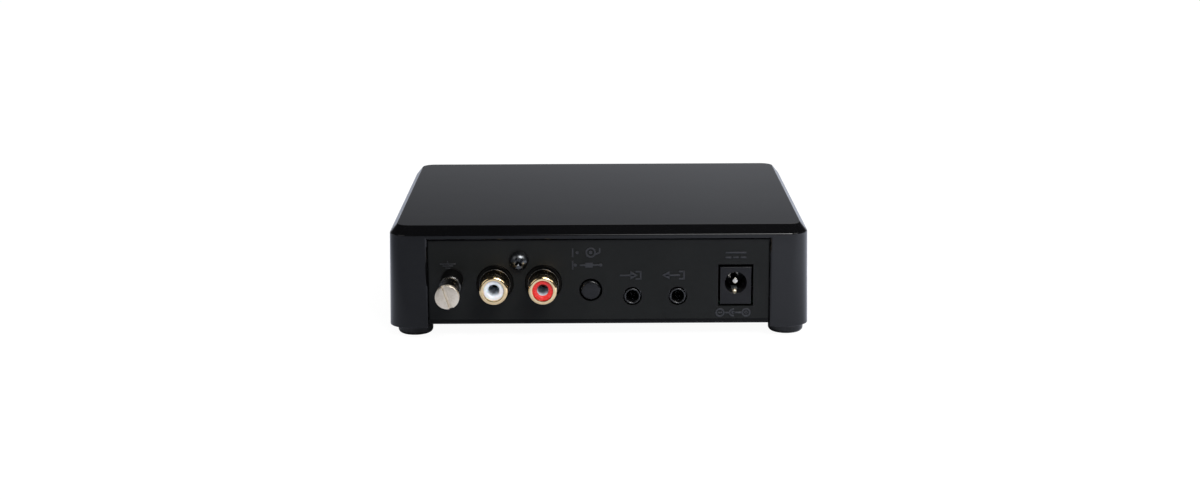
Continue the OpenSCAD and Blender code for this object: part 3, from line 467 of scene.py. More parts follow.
FILM_EPOXY = TexturedAbs("epoxy_dipped_red", "#96261c", "#a93425", 0.28, blot_mm=3.0,
                         grain_mm=1.0, grain_depth_mm=0.02)
LACQUER = TexturedAbs("lacquer_resistor_blue", "#7d9dbd", "#93b2cf", 0.22, blot_mm=2.0,
                      grain_mm=0.5, grain_depth_mm=0.008)
WIRE_PVC = TexturedAbs("pvc_wire_green", "#2c7a31", "#378a3c", 0.4, blot_mm=4.0, grain_mm=0.5,
                       grain_depth_mm=0.006)
WHITE_NYLON = SatinNylon("nylon_white", "#e0e2e5", "#d6dade")
RED_NYLON = SatinNylon("nylon_red", "#dc2d27", "#cc241f", 0.22, glow=0.08)
PLUNGER_NYLON = SatinNylon("nylon_plunger", "#cfcfc8", "#bfbfb8", 0.4)
TIN_PLATE = TurnedMetal("tin_plate", "#c9c9cc", "#a9a9ac", 0.24)
SPRING_STEEL = TurnedMetal("spring_steel_plated", "#d6d2c8", "#b0aca2", 0.16)
MATT_TIN = TurnedMetal("tin_plate_matt", "#e6eaee", "#d2d6da", 0.55, metallic=0.3)
WARM_TIN = TurnedMetal("tin_plate_warm", "#eaddc2", "#dacdb4", 0.36)
BLACK_ZINC = TurnedMetal("zinc_plate_black", "#626466", "#525456", 0.26)
RUBBER = FootRubber("rubber_black_moulded", "#0e0e0e", "#1c1c1b", 0.3)
BOARD_MASK = SolderMask("board_green_solder_mask", "#0b2415", "#12331f", 0.25)
CLEAR_PIPE = ClearAcrylic("acrylic_light_pipe", "#dfe8f2", "#dfe8f2")
LIGHT_EPOXY = ClearAcrylic("epoxy_blue_light", "#3c6fd0", "#3c6fd0", 0.2)


# ---------------------------------------------------------------- mesh helpers

ROW_PLACE = Matrix.Scale(MM, 4)
# out of the panel: in a piece's own axes, and in the row frame
OUTWARD = Vector((0, 0, 1))
REARWARD = Vector((0, -1, 0))
# how near counts as the same place, how near points merge, how near they lie on a cutting
# plane, and how far apart two planes are at least, in mm
SNAP = 1e-3
MERGE = 1e-5
ON_PLANE = 1e-6
APART = 1.0
# the least that a face's normal shares with a way when the face looks that way
FACING = 0.9
# how far the large faces lead the normals beside a rounded edge
FLAT_WEIGHT = 80

Pair = tuple[float, float]
Corner = tuple[float, float, float]


def panel_place(x: float, z: float) -> Matrix:
    """Returns the place of a piece on the panel: local x right, y up, z outward.

    Args:
        x: the axis's place across the panel, in mm.
        z: the axis's height, in mm.

    Returns:
        The matrix from local millimetres to metres in the row frame.
    """
    turn = Matrix(((1, 0, 0, x), (0, 0, -1, PANEL_Y), (0, 1, 0, z), (0, 0, 0, 1)))
    return ROW_PLACE @ turn


def lathe(profile: list[Pair], steps: int = 72, closed: bool = True) -> BMesh:
    """Turns a profile about local z.

    Args:
        profile: points as (radius, station).
        steps: how many faces go round.
        closed: whether the last point joins the first.

    Returns:
        The turned mesh, with its doubles merged and its faces outwards.
    """
    bm = bmesh.new()
    points = [bm.verts.new((radius, 0, station)) for radius, station in profile]
    pairs = list(zip(points, points[1:])) + ([(points[-1], points[0])] if closed else [])
    edges = [bm.edges.new(pair) for pair in pairs]
    bmesh.ops.spin(bm, geom=points + edges, cent=(0, 0, 0), axis=(0, 0, 1), angle=math.tau,
                   steps=steps, use_merge=True)
    bmesh.ops.remove_doubles(bm, verts=bm.verts, dist=MERGE)
    bmesh.ops.recalc_face_normals(bm, faces=bm.faces)
    return bm


def arc(radius: float, station: float, size: float, start: float, end: float,
        count: int = 6) -> list[Pair]:
    """Returns points of a rounding in a profile.

    Args:
        radius: the rounding's centre, out from the axis.
        station: the rounding's centre along the axis.
        size: the rounding's own radius.
        start: the first angle in degrees, from outward towards the station's end.
        end: the last angle.
        count: how many steps there are.

    Returns:
        Pairs as (radius, station).
    """
    angles = [math.radians(start + (end - start) * i / count) for i in range(count + 1)]
    return [(radius + size * math.cos(a), station + size * math.sin(a)) for a in angles]


def rounded(radius: float, station: float, size: float, count: int = 3) -> list[Pair]:
    """Returns points that round the outer front corner at a radius and station off."""
    return arc(radius - size, station - size, size, 0, 90, count)


def bevel(bm: BMesh, edges: list[BMEdge], size: float, segments: int,
          measure: str = "OFFSET") -> None:
    """Bevels edges.

    Args:
        bm: the mesh.
        edges: the edges.
        size: how wide the bevel is.
        segments: how many faces it has.
        measure: what the size says: the offset from the edge, or the flat's width.
    """
    bmesh.ops.bevel(bm, geom=edges, offset=size, offset_type=measure, segments=segments,
                    profile=0.5, affect="EDGES", material=-1)


def add_block(bm: BMesh, low: Corner, high: Corner, edge: float = 0.0) -> list[BMVert]:
    """Adds a block between two corners, with its edges rounded.

    Args:
        bm: the mesh that gets the block.
        low: the lowest corner.
        high: the highest corner.
        edge: the radius of its edges.

    Returns:
        The block's vertices, before the rounding.
    """
    size = [b - a for a, b in zip(low, high)]
    middle = Vector([(a + b) / 2 for a, b in zip(low, high)])
    place = Matrix.Translation(middle) @ Matrix.Diagonal((*size, 1))
    verts = bmesh.ops.create_cube(bm, size=1, matrix=place)["verts"]
    if edge:
        bevel(bm, list({e for v in verts for e in v.link_edges}), edge, 3)
    return verts


def settled(bm: BMesh, name: str) -> Mesh:
    """Turns a mesh under work to a mesh block, and frees it.

    Args:
        bm: the mesh under work.
        name: the block's name.

    Returns:
        The mesh block.
    """
    mesh = bpy.data.meshes.new(name)
    bm.to_mesh(mesh)
    bm.free()
    return mesh


def stand(name: str, data: ID) -> Object:
    """Sets an object of a mesh, a lamp or a camera into the scene.

    Args:
        name: the object's name.
        data: its mesh, lamp or camera.

    Returns:
        The object.
    """
    thing = bpy.data.objects.new(name, data)
    bpy.context.scene.collection.objects.link(thing)
    return thing


def join_meshes(parts: list[BMesh]) -> BMesh:
    """Puts several meshes into the first and frees the others.

    Args:
        parts: the meshes.

    Returns:
        The first of them, with all the others in it.
    """
    whole = parts[0]
    for part in parts[1:]:
        spare = settled(part, "spare")
        whole.from_mesh(spare)
        bpy.data.meshes.remove(spare)
    return whole


def repeat_at(bm: BMesh, places: list[Pair]) -> BMesh:
    """Repeats a mesh at several places.

    Args:
        bm: the mesh; it is freed.
        places: the places' x and y.

    Returns:
        All the copies in one mesh.
    """
    copies = [bm.copy() for _ in places]
    bm.free()
    for copy, (x, y) in zip(copies, places):
        bmesh.ops.translate(copy, vec=(x, y, 0), verts=copy.verts)
    return join_meshes(copies)


def face_at(bm: BMesh, point: Vector, towards: Vector) -> BMFace:
    """Finds the face that looks one way and holds a point.

    Args:
        bm: the mesh.
        point: a point on or near the face.
        towards: the way that it looks.

    Returns:
        The nearest such face.
    """
    bm.normal_update()
    found = [f for f in bm.faces if f.normal.dot(towards) > FACING
             and bmesh.geometry.intersect_face_point(f, point)]
    return min(found, key=lambda f: abs((f.calc_center_median() - point).dot(f.normal)))


def split_face(bm: BMesh, face: BMFace, point: Vector, way: Vector) -> None:
    """Splits one face along the plane through a point, square to a way."""
    bmesh.ops.bisect_plane(bm, geom=[face, *face.edges, *face.verts], dist=ON_PLANE,
                           plane_co=point, plane_no=way)


def cut_window(bm: BMesh, point: Vector, towards: Vector, half_w: float,
               half_h: float) -> BMFace:
    """Cuts a rectangle out of a face, and leaves it as a face of its own.

    Args:
        bm: the mesh.
        point: the rectangle's centre.
        towards: the way that the face looks.
        half_w: half its width.
        half_h: half its height.

    Returns:
        The rectangle's face.
    """
    normal = face_at(bm, point, towards).normal.copy()
    hint = Vector((0, 0, 1)) if abs(normal.z) < FACING else Vector((0, 1, 0))
    up = (hint - normal * hint.dot(normal)).normalized()
    side = up.cross(normal)
    for way, half in ((side, half_w), (-side, half_w), (up, half_h), (-up, half_h)):
        split_face(bm, face_at(bm, point, towards), point + way * half, way)
    return face_at(bm, point, towards)


def rimmed_window(bm: BMesh, point: Vector, towards: Vector, half_w: float, half_h: float,
                  rim: float = 0.6) -> BMFace:
    """Cuts a rectangle out of a face with a mitred rim, which bevels cleanly.

    Args:
        bm: the mesh.
        point: the rectangle's centre.
        towards: the way that the face looks.
        half_w: half its width.
        half_h: half its height.
        rim: the rim's width.

    Returns:
        The rectangle's face.
    """
    face = cut_window(bm, point, towards, half_w + rim, half_h + rim)
    bmesh.ops.inset_individual(bm, faces=[face], thickness=rim)
    return face


def round_face(bm: BMesh, point: Vector, towards: Vector, radius: float, steps: int = 64,
               margin: float = 0.3) -> BMFace:
    """Cuts a round face out of a flat one.

    Args:
        bm: the mesh.
        point: the centre.
        towards: the way that the face looks.
        radius: the radius.
        steps: how many points go round.
        margin: how far the square round it stands off.

    Returns:
        The round face.
    """
    face = cut_window(bm, point, towards, radius + margin, radius + margin)
    bmesh.ops.subdivide_edges(bm, edges=list(face.edges), cuts=steps // 4 - 1)
    face = face_at(bm, point, towards)
    bmesh.ops.inset_individual(bm, faces=[face], thickness=margin / 2)
    flat = point + face.normal * (face.verts[0].co - point).dot(face.normal)
    for vert in face.verts:
        vert.co = flat + (vert.co - flat).normalized() * radius
    return face


def pierce(bm: BMesh, point: Vector, towards: Vector, radius: float, steps: int = 64) -> None:
    """Cuts a round hole into a flat face.

    Args:
        bm: the mesh.
        point: the hole's centre.
        towards: the way that the face looks.
        radius: the hole's radius.
        steps: how many points go round.
    """
    hole = round_face(bm, point, towards, radius, steps)
    bmesh.ops.delete(bm, geom=[hole], context="FACES")


def pull_faces(bm: BMesh, faces: list[BMFace], way: Vector, keep: bool = False) -> list[BMVert]:
    """Pulls faces out of a mesh, with walls behind them.

    Args:
        bm: the mesh.
        faces: the faces.
        way: which way and how far they go.
        keep: whether faces also stay where they were.

    Returns:
        The vertices that moved.
    """
    made = bmesh.ops.extrude_face_region(bm, geom=faces, use_keep_orig=keep)["geom"]
    moved = [g for g in made if isinstance(g, BMVert)]
    bmesh.ops.translate(bm, vec=way, verts=moved)
    return moved


def sink_face(bm: BMesh, face: BMFace, depth: float) -> None:
    """Pushes a face inwards and walls the sides of the hole.

    Args:
        bm: the mesh.
        face: the face that becomes the hole's floor.
        depth: how deep it goes.
    """
    pull_faces(bm, [face], -face.normal * depth)
    if face.is_valid:
        bmesh.ops.delete(bm, geom=[face], context="FACES_ONLY")


def close_ends(bm: BMesh, sides: int) -> None:
    """Closes the open ends of a tube.

    Args:
        bm: the tube.
        sides: how many sides its ends have.
    """
    bmesh.ops.holes_fill(bm, edges=[e for e in bm.edges if e.is_boundary], sides=sides)
    bmesh.ops.recalc_face_normals(bm, faces=bm.faces)


def carve(bm: BMesh, cutter: BMesh) -> BMesh:
    """Cuts one closed mesh out of another.

    Args:
        bm: the mesh that is cut; it is freed.
        cutter: the mesh that cuts; it is freed.

    Returns:
        What is left.
    """
    objects = [stand(name, settled(source, name))
               for name, source in (("carved", bm), ("cutter", cutter))]
    boolean = objects[0].modifiers.new("carve", "BOOLEAN")
    boolean.operation = "DIFFERENCE"
    boolean.solver = "EXACT"
    boolean.object = objects[1]
    evaluated = objects[0].evaluated_get(bpy.context.evaluated_depsgraph_get())
    left = bmesh.new()
    left.from_mesh(evaluated.to_mesh())
    evaluated.to_mesh_clear()
    for done in objects:
        mesh = done.data
        bpy.data.objects.remove(done)
        bpy.data.meshes.remove(mesh)
    bmesh.ops.remove_doubles(left, verts=left.verts, dist=MERGE)
    bmesh.ops.dissolve_degenerate(left, edges=left.edges, dist=MERGE)
    return left


def saw(bm: BMesh, low: Corner, high: Corner, turn: float, foot: Pair = (1.0, 1.0)) -> BMesh:
    """Saws a slot into the end of a turned piece.

    Args:
        bm: the piece; it is freed.
        low: the blade's lowest corner, before it turns.
        high: the blade's highest corner.
        turn: the blade's angle about local z, in degrees.
        foot: the shares of its width and thickness that the blade has at its foot.

    Returns:
        The slotted piece.
    """
    cutter = bmesh.new()
    blade = add_block(cutter, low, high)
    for vert in blade:
        if vert.co.z < (low[2] + high[2]) / 2:
            vert.co.x *= foot[0]
            vert.co.y *= foot[1]
    bmesh.ops.rotate(cutter, cent=(0, 0, 0), verts=blade,
                     matrix=Matrix.Rotation(math.radians(turn), 3, "Z"))
    return carve(bm, cutter)


@dataclass(frozen=True)
class Dressing:
    """What a finished piece needs beside its mesh."""

    name: str
    finish: Finish
    slot: str
    body: Body = Body.ROOT
    replaces: tuple[str, ...] = ()
    edge: float = 0.0
    edge_segments: int = 2
    edge_angle: float = 35.0


def make_piece(bm: BMesh, place: Matrix, dressing: Dressing) -> Object:
    """Makes a finished object of a mesh.

    Args:
        bm: the mesh, in local millimetres; it is freed.
        place: the matrix to metres in the row frame.
        dressing: the piece's name, finish, body and edge rounding; its slot is not used.

    Returns:
        The object, which sits at the origin.
    """
    bmesh.ops.transform(bm, matrix=place, verts=bm.verts)
    mesh = settled(bm, dressing.name)
    mesh.shade_smooth()
    mesh.set_sharp_from_angle(angle=math.radians(dressing.edge_angle))
    mesh.materials.append(material_of(dressing.finish))
    piece = stand(dressing.name, mesh)
    if dressing.edge:
        rounding = piece.modifiers.new("edges", "BEVEL")
        rounding.width = dressing.edge * MM
        rounding.segments = dressing.edge_segments
        rounding.limit_method = "ANGLE"
        rounding.angle_limit = math.radians(dressing.edge_angle)
        flats = piece.modifiers.new("flats", "WEIGHTED_NORMAL")
        flats.keep_sharp = True
        flats.weight = FLAT_WEIGHT
    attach(piece, dressing.body.value)
    if dressing.replaces:
        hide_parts(*dressing.replaces)
    LOG.info("piece %s: %d faces", piece.name, len(mesh.polygons))
    return piece


def dress_nodes(finish: Finish, *names: str) -> None:
    """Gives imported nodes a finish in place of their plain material.

    Args:
        finish: the finish.
        names: the nodes' names.
    """
    for name in names:
        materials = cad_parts[name].data.materials
        materials.clear()
        materials.append(material_of(finish))
        LOG.info("node %s: %s", name, finish.name)


# ---------------------------------------------------------------- case


def is_upright(edge: BMEdge) -> bool:
    """Says whether an edge of the case runs up its height."""
    return abs(edge.verts[0].co.z - edge.verts[1].co.z) > APART


@dataclass
class Case:
    """The top shell, the bottom cover, the feet and the light pipe."""

    half_w: float = 61.0
    half_d: float = 52.0
    foot_z: float = 3.2
    chamfer_z: float = 30.5
    corner_r: float = 6.5
    corner_steps: int = 14
    draft: float = 0.5
    chamfer_h: float = 2.6
    chamfer_w: float = 2.1
    wall: float = 2.5
    opening_top: float = 29.33
    edge: float = 0.42
    corner_flat: float = 0.6
    pillar_r: float = 4.0
    pillar_bore_r: float = 1.6
    pillar_x: float = 54.3
    pillar_ys: Pair = (-33.5, 53.5)
    foot_r: float = 5.1
    foot_edge: float = 1.3
    foot_hollow: float = 0.35
    # the hollow's floor and mouth, as shares of the foot's radius
    foot_hollow_shares: Pair = (0.55, 0.62)
    feet_shift: float = 0.5
    light_x: float = 0.0
    light_z: float = 14.6
    light_r: float = 1.5
    light_gap: float = 0.15
    light_flange: float = 1.0
    light_round: float = 0.3
    # the angle at which the rounding meets the dome
    light_bend: float = 70.0

    def corners(self, shift: float = 0.0) -> list[Pair]:
        """Returns the places of the pillars, or of what lies a shift to their right."""
        return [(x + shift, y) for x in (-self.pillar_x, self.pillar_x) for y in self.pillar_ys]

    def draw_in(self, verts: list[BMVert], from_r: float, to_r: float) -> None:
        """Moves points of a rounded outline in towards the corner axes.

        Args:
            verts: the points.
            from_r: the corner radius that they have.
            to_r: the corner radius that they get.
        """
        axis_x = self.half_w - self.corner_r
        axis_y = self.half_d - self.corner_r
        for vert in verts:
            x = min(max(vert.co.x, -axis_x), axis_x)
            y = min(max(vert.co.y, CENTRE_Y - axis_y), CENTRE_Y + axis_y)
            vert.co.x = x + (vert.co.x - x) * to_r / from_r
            vert.co.y = y + (vert.co.y - y) * to_r / from_r

    def box_mesh(self) -> BMesh:
        """Builds the closed outside: walls with draft, a chamfer and the lid.

        Returns:
            The box, open underneath.
        """
        bm = bmesh.new()
        add_block(bm, (-self.half_w, CENTRE_Y - self.half_d, self.foot_z),
                  (self.half_w, CENTRE_Y + self.half_d, self.chamfer_z))
        upright = [e for e in bm.edges if is_upright(e)]
        bevel(bm, upright, self.corner_r, self.corner_steps)
        upper_r = self.corner_r - self.draft
        upper = [v for v in bm.verts if v.co.z > self.chamfer_z - SNAP]
        self.draw_in(upper, self.corner_r, upper_r)
        bm.normal_update()
        lid = next(f for f in bm.faces if f.normal.z > FACING)
        rim = pull_faces(bm, [lid], Vector((0, 0, self.chamfer_h)))
        self.draw_in(rim, upper_r, upper_r - self.chamfer_w)
        bm.normal_update()
        under = [f for f in bm.faces if f.normal.z < -FACING]
        bmesh.ops.delete(bm, geom=under, context="FACES_ONLY")
        return bm

    def cut_opening(self, bm: BMesh) -> None:
        """Cuts the rear opening into the rear wall.

        Args:
            bm: the box's mesh.
        """
        middle = Vector((0, CENTRE_Y - self.half_d, (self.foot_z + self.opening_top) / 2))
        for way, reach in ((Vector((1, 0, 0)), OPENING_HALF), (Vector((-1, 0, 0)), OPENING_HALF),
                           (Vector((0, 0, 1)), self.opening_top)):
            split_face(bm, face_at(bm, middle, REARWARD), way * reach, way)
        bmesh.ops.delete(bm, geom=[face_at(bm, middle, REARWARD)], context="FACES")
        header_h = self.chamfer_z - self.opening_top
        for vert in bm.verts:
            if vert.co.z > self.opening_top + header_h / 2 and vert.co.y < CENTRE_Y:
                if abs(abs(vert.co.x) - OPENING_HALF) < SNAP:
                    vert.co.x += math.copysign(header_h, vert.co.x)

    def shell_mesh(self) -> BMesh:
        """Builds the shell with its wall, the rear opening and the light's hole.

        Returns:
            The shell.
        """
        bm = self.box_mesh()
        self.cut_opening(bm)
        front = Vector((self.light_x, CENTRE_Y + self.half_d, self.light_z))
        pierce(bm, front, -REARWARD, self.light_r + self.light_gap, steps=48)
        bmesh.ops.recalc_face_normals(bm, faces=bm.faces)
        outside = set(bm.verts)
        bmesh.ops.solidify(bm, geom=bm.faces, thickness=self.wall)
        self.straighten([v for v in bm.verts if v not in outside])
        rear_y = CENTRE_Y - self.half_d
        posts = [e for e in bm.edges if is_upright(e) and all(
            abs(abs(v.co.x) - OPENING_HALF) < SNAP and v.co.y < rear_y + APART for v in e.verts)]
        bevel(bm, posts, self.corner_flat, 1, "WIDTH")
        bmesh.ops.recalc_face_normals(bm, faces=bm.faces)
        return bm

    def straighten(self, inner: list[BMVert]) -> None:
        """Sets the foot of the inner wall in, so that the inside stands straight.

        Args:
            inner: the inner wall's vertices.
        """
        foot = [v for v in inner if v.co.z < self.foot_z + APART]
        inner_r = self.corner_r - self.wall
        self.draw_in(foot, inner_r, inner_r - self.draft)
        for vert in foot:
            vert.co.z = self.foot_z

    def pillars_mesh(self) -> BMesh:
        """Builds the four screw pillars.

        Returns:
            The pillars, from the cover to the chamfer.
        """
        low, high = COVER_TOP_Z, self.chamfer_z
        pillar = lathe([(self.pillar_bore_r, low), (self.pillar_r, low), (self.pillar_r, high),
                        (self.pillar_bore_r, high)], steps=32)
        return repeat_at(pillar, self.corners())

    def feet_mesh(self) -> BMesh:
        """Builds the four rubber feet, hollowed a little underneath.

        Returns:
            The feet.
        """
        r, e = self.foot_r, self.foot_edge
        floor, mouth = self.foot_hollow_shares
        foot = lathe([(0, self.foot_hollow), (r * floor, self.foot_hollow), (r * mouth, 0.0),
                      *arc(r - e, e, e, -90, 0, 8), (r, self.foot_z), (0, self.foot_z)],
                     steps=56, closed=False)
        return repeat_at(foot, self.corners(self.feet_shift))

    def light_mesh(self) -> BMesh:
        """Builds the light pipe: a rod with a flange behind the wall and a domed end.

        Returns:
            The light pipe, in the row frame's axes.
        """
        r, flange = self.light_r, self.light_flange
        low, high = [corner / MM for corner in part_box("light_pipe")]
        length = high.y - low.y
        flange_r = (high.x - low.x) / 2
        bm = lathe([(0, 0), (flange_r, 0), (flange_r, flange), (r, flange),
                    *arc(r - self.light_round, length - self.light_round, self.light_round,
                         0, self.light_bend, 5), (0, length)], steps=40, closed=False)
        place = Matrix.Translation((self.light_x, low.y, self.light_z))
        bmesh.ops.transform(bm, matrix=place @ Matrix.Rotation(-math.pi / 2, 4, "X"),
                            verts=bm.verts)
        return bm

    def build(self) -> None:
        """Builds and dresses the case."""
        shell = join_meshes([self.shell_mesh(), self.pillars_mesh()])
        make_piece(shell, ROW_PLACE, Dressing(
            "case_shell", SHELL_ABS, "shell_gloss", replaces=("top_shell",), edge=self.edge,
            edge_segments=3, edge_angle=28))
        make_piece(self.feet_mesh(), ROW_PLACE, Dressing(
            "rubber_feet", RUBBER, "foot_rubber", replaces=("feet",)))
        make_piece(self.light_mesh(), ROW_PLACE, Dressing(
            "light_lens", CLEAR_PIPE, "light_clear", replaces=("light_pipe",)))
        dress_nodes(COVER_ABS, "bottom_cover")
        dress_nodes(TIN_PLATE, "case_screws")
        dress_nodes(LIGHT_EPOXY, "power_light")


# ---------------------------------------------------------------- rear panel


@dataclass
class MarkSheet:
    """Raised marks on the panel, drawn with bars, rings, dots and wedges."""

    stroke: float = 0.45
    relief: float = 0.2
    root: float = 0.05
    arrow_w: float = 2.8
    arrow_l: float = 4.2
    arrow_set: float = 0.5

    def __post_init__(self) -> None:
        """Starts an empty sheet."""
        self.bm = bmesh.new()
        self.origin = Vector((0, 0, 0))

    def at(self, x: float, z: float) -> None:
        """Moves the pen's origin to a place on the panel."""
        self.origin = Vector((x, z, 0))

    def place(self, x: float, y: float, turn: float) -> Matrix:
        """Returns the place of a stroke's middle, turned by an angle in radians."""
        middle = Vector((x, y, (self.relief - self.root) / 2))
        return Matrix.Translation(self.origin + middle) @ Matrix.Rotation(turn, 4, "Z")

    def bar(self, a: Pair, b: Pair, width: float | None = None) -> None:
        """Draws a bar from one point to another.

        Args:
            a: the first point.
            b: the second point.
            width: the bar's width, where it isn't the pen's own.
        """
        run = Vector(b) - Vector(a)
        place = self.place((a[0] + b[0]) / 2, (a[1] + b[1]) / 2, math.atan2(run.y, run.x))
        size = (run.length, width or self.stroke, self.relief + self.root, 1)
        bmesh.ops.create_cube(self.bm, size=1, matrix=place @ Matrix.Diagonal(size))

    def disc(self, x: float, y: float, d: float, sides: int = 32, turn: float = 0.0) -> None:
        """Draws a dot, or a wedge where it has three sides.

        Args:
            x: its middle, across.
            y: its middle, up.
            d: its diameter.
            sides: how many sides it has.
            turn: its angle in radians.
        """
        bmesh.ops.create_cone(self.bm, cap_ends=True, segments=sides, radius1=d / 2,
                              radius2=d / 2, depth=self.relief + self.root,
                              matrix=self.place(x, y, turn))

    def ring(self, x: float, y: float, d: float, gap_from: float | None = None) -> None:
        """Draws a ring.

        Args:
            x: its middle, across.
            y: its middle, up.
            d: its diameter.
            gap_from: where it ends on its right, from its middle, if it is open.
        """
        r, low, high = d / 2, -self.root, self.relief
        part = lathe([(r - self.stroke, low), (r, low), (r, high), (r - self.stroke, high)],
                     steps=40)
        if gap_from is not None:
            geom = [*part.verts, *part.edges, *part.faces]
            cut = bmesh.ops.bisect_plane(part, geom=geom, dist=ON_PLANE, plane_co=(gap_from, 0, 0),
                                         plane_no=(1, 0, 0), clear_outer=True)
            rim = [g for g in cut["geom_cut"] if isinstance(g, BMEdge)]
            bmesh.ops.holes_fill(part, edges=rim)
        bmesh.ops.translate(part, vec=self.origin + Vector((x, y, 0)), verts=part.verts)
        self.bm = join_meshes([self.bm, part])

    def arrow(self, x: float, way: int) -> None:
        """Draws an arrow.

        Args:
            x: where it starts.
            way: 1 to the right, -1 to the left.
        """
        self.bar((x, 0), (x + way * self.arrow_l, 0))
        self.disc(x + way * (self.arrow_l - self.arrow_set), 0, self.arrow_w, 3,
                  -way * math.pi / 2)


@dataclass
class RearPanel:
    """The plate between the posts, its holes and its raised marks."""

    half_w: float = 49.1
    low_z: float = 3.65
    top_z: float = 28.83
    tongue_half: float = 51.2
    tongue_y: float = -39.0
    tongue_top: float = 30.2
    lap: float = 0.5
    ledge: float = 1.5
    edge: float = 0.12
    mark_edge: float = 0.05
    lower_r: float = 1.7
    phono_hole_r: float = 5.4
    screw_hole_r: float = 1.65
    line_hole_r: float = 2.75
    button_hole_r: float = 3.35
    ground_hole_r: float = 2.65
    power_half_w: float = 4.9
    power_low: float = 9.2
    power_top: float = 21.25
    # the two rows of marks over the button, from its axis
    mark_rows: Pair = (11.1, 7.4)

    def plate_mesh(self) -> BMesh:
        """Builds the plate with its holes and the power socket's cut-out.

        Returns:
            The plate, down to its rounded lower edge.
        """
        bm = bmesh.new()
        low = self.low_z + self.lower_r
        place = (Matrix.Translation((0, PANEL_Y, (low + self.top_z) / 2))
                 @ Matrix.Rotation(math.pi / 2, 4, "X")
                 @ Matrix.Diagonal((self.half_w, (self.top_z - low) / 2, 1, 1)))
        bmesh.ops.create_grid(bm, x_segments=1, y_segments=1, size=1, matrix=place)
        holes = [*((x, PHONO_Z, self.phono_hole_r) for x in PHONO_XS),
                 (PHONO_X, PHONO_SCREW_Z, self.screw_hole_r),
                 *((x, LINE_Z, self.line_hole_r) for x in LINE_XS),
                 (BUTTON_X, BUTTON_Z, self.button_hole_r),
                 (GROUND_X, GROUND_Z, self.ground_hole_r)]
        for x, z, radius in holes:
            pierce(bm, Vector((x, PANEL_Y, z)), REARWARD, radius)
        middle = Vector((POWER_X, PANEL_Y, (self.power_low + self.power_top) / 2))
        window = rimmed_window(bm, middle, REARWARD, self.power_half_w,
                               (self.power_top - self.power_low) / 2)
        bmesh.ops.delete(bm, geom=[window], context="FACES")
        pull_faces(bm, bm.faces[:], -REARWARD * PANEL_T, keep=True)
        bmesh.ops.recalc_face_normals(bm, faces=bm.faces)
        return bm

    def tongue_mesh(self) -> BMesh:
        """Builds the strips behind the posts and the header, and the ledge.

        Returns:
            The strips and the ledge.
        """
        bm = bmesh.new()
        back_y = PANEL_Y + PANEL_T
        for side in (-1, 1):
            xs = sorted((side * (self.half_w - self.lap), side * self.tongue_half))
            add_block(bm, (xs[0], self.tongue_y, self.low_z), (xs[1], back_y, self.tongue_top))
        add_block(bm, (-self.half_w, self.tongue_y, self.top_z - self.lap),
                  (self.half_w, back_y, self.tongue_top))
        add_block(bm, (-self.half_w, back_y, COVER_TOP_Z),
                  (self.half_w, back_y + self.ledge, COVER_TOP_Z + self.ledge))
        return bm

    def lower_mesh(self) -> BMesh:
        """Builds the plate's smooth lower edge, rounded under.

        Returns:
            The edge, a bar across the case.
        """
        bm, r = bmesh.new(), self.lower_r
        back_y = PANEL_Y + PANEL_T
        outline = [*arc(PANEL_Y + r, self.low_z + r, r, 180, 270, 8), (back_y, self.low_z),
                   (back_y, self.low_z + r)]
        points = [bm.verts.new((-self.half_w, y, z)) for y, z in outline]
        bmesh.ops.contextual_create(bm, geom=points)
        pull_faces(bm, bm.faces[:], Vector((2 * self.half_w, 0, 0)), keep=True)
        bmesh.ops.recalc_face_normals(bm, faces=bm.faces)
        return bm

    def marks_mesh(self) -> BMesh:
        """Draws the raised marks: each stroke's numbers are its place in its own mark.

        Returns:
            The marks, in the panel's own axes.
        """
        pen = MarkSheet()
        fine, step, inset = 0.3, 0.6, 0.8
        # the earth sign over the ground terminal
        pen.at(GROUND_X - 1.2, GROUND_Z + 4.3)
        pen.bar((0, 2 * step), (0, step / 2), fine)
        for i in range(3):
            half, height = 2.3 - inset * i, step / 2 - step * i
            pen.bar((-half, height), (half, height), fine)
        # the switch's two rows: out and in, each beside its source
        for rise, dot in zip(self.mark_rows, (1.3, 0.75)):
            pen.at(BUTTON_X - 5.2, BUTTON_Z + rise)
            pen.bar((0, -1.3), (0, 1.3))
            pen.disc(dot, 0, 0.9)
        upper, lower = self.mark_rows
        # a turntable with its arm
        pen.at(BUTTON_X, BUTTON_Z + upper)
        pen.ring(0, 0, 3)
        pen.disc(0, 0, 1)
        pen.bar((2.6, 1.3), (2.6, 0))
        pen.bar((2.6, 0), (1.2, -0.6))
        # a plug on its lead
        pen.at(BUTTON_X, BUTTON_Z + lower)
        pen.bar((-1.6, 0), (0.6, 0), 1.4)
        pen.bar((0.6, 0), (2.6, 0))
        pen.disc(2.9, 0, 0.9)
        pen.bar((-3.2, 0), (-1.6, 0))
        # an arrow into a bracket and an arrow out of one
        for x, start, way in ((LINE_XS[0], -3.6, 1), (LINE_XS[1] - 0.6, 1.2, -1)):
            pen.at(x, LINE_Z + 6.2)
            pen.bar((2.4, -1.3), (2.4, 1.3))
            for height in (1.075, -1.075):
                pen.bar((0.9, height), (2.4, height))
            pen.arrow(start, way)
        # the sign for direct current
        pen.at(POWER_X, POWER_TOP_Z + 3.6)
        pen.bar((-3, 0.7), (3, 0.7))
        for x in (-3, -0.8, 1.4):
            pen.bar((x, -0.7), (x + 1.6, -0.7))
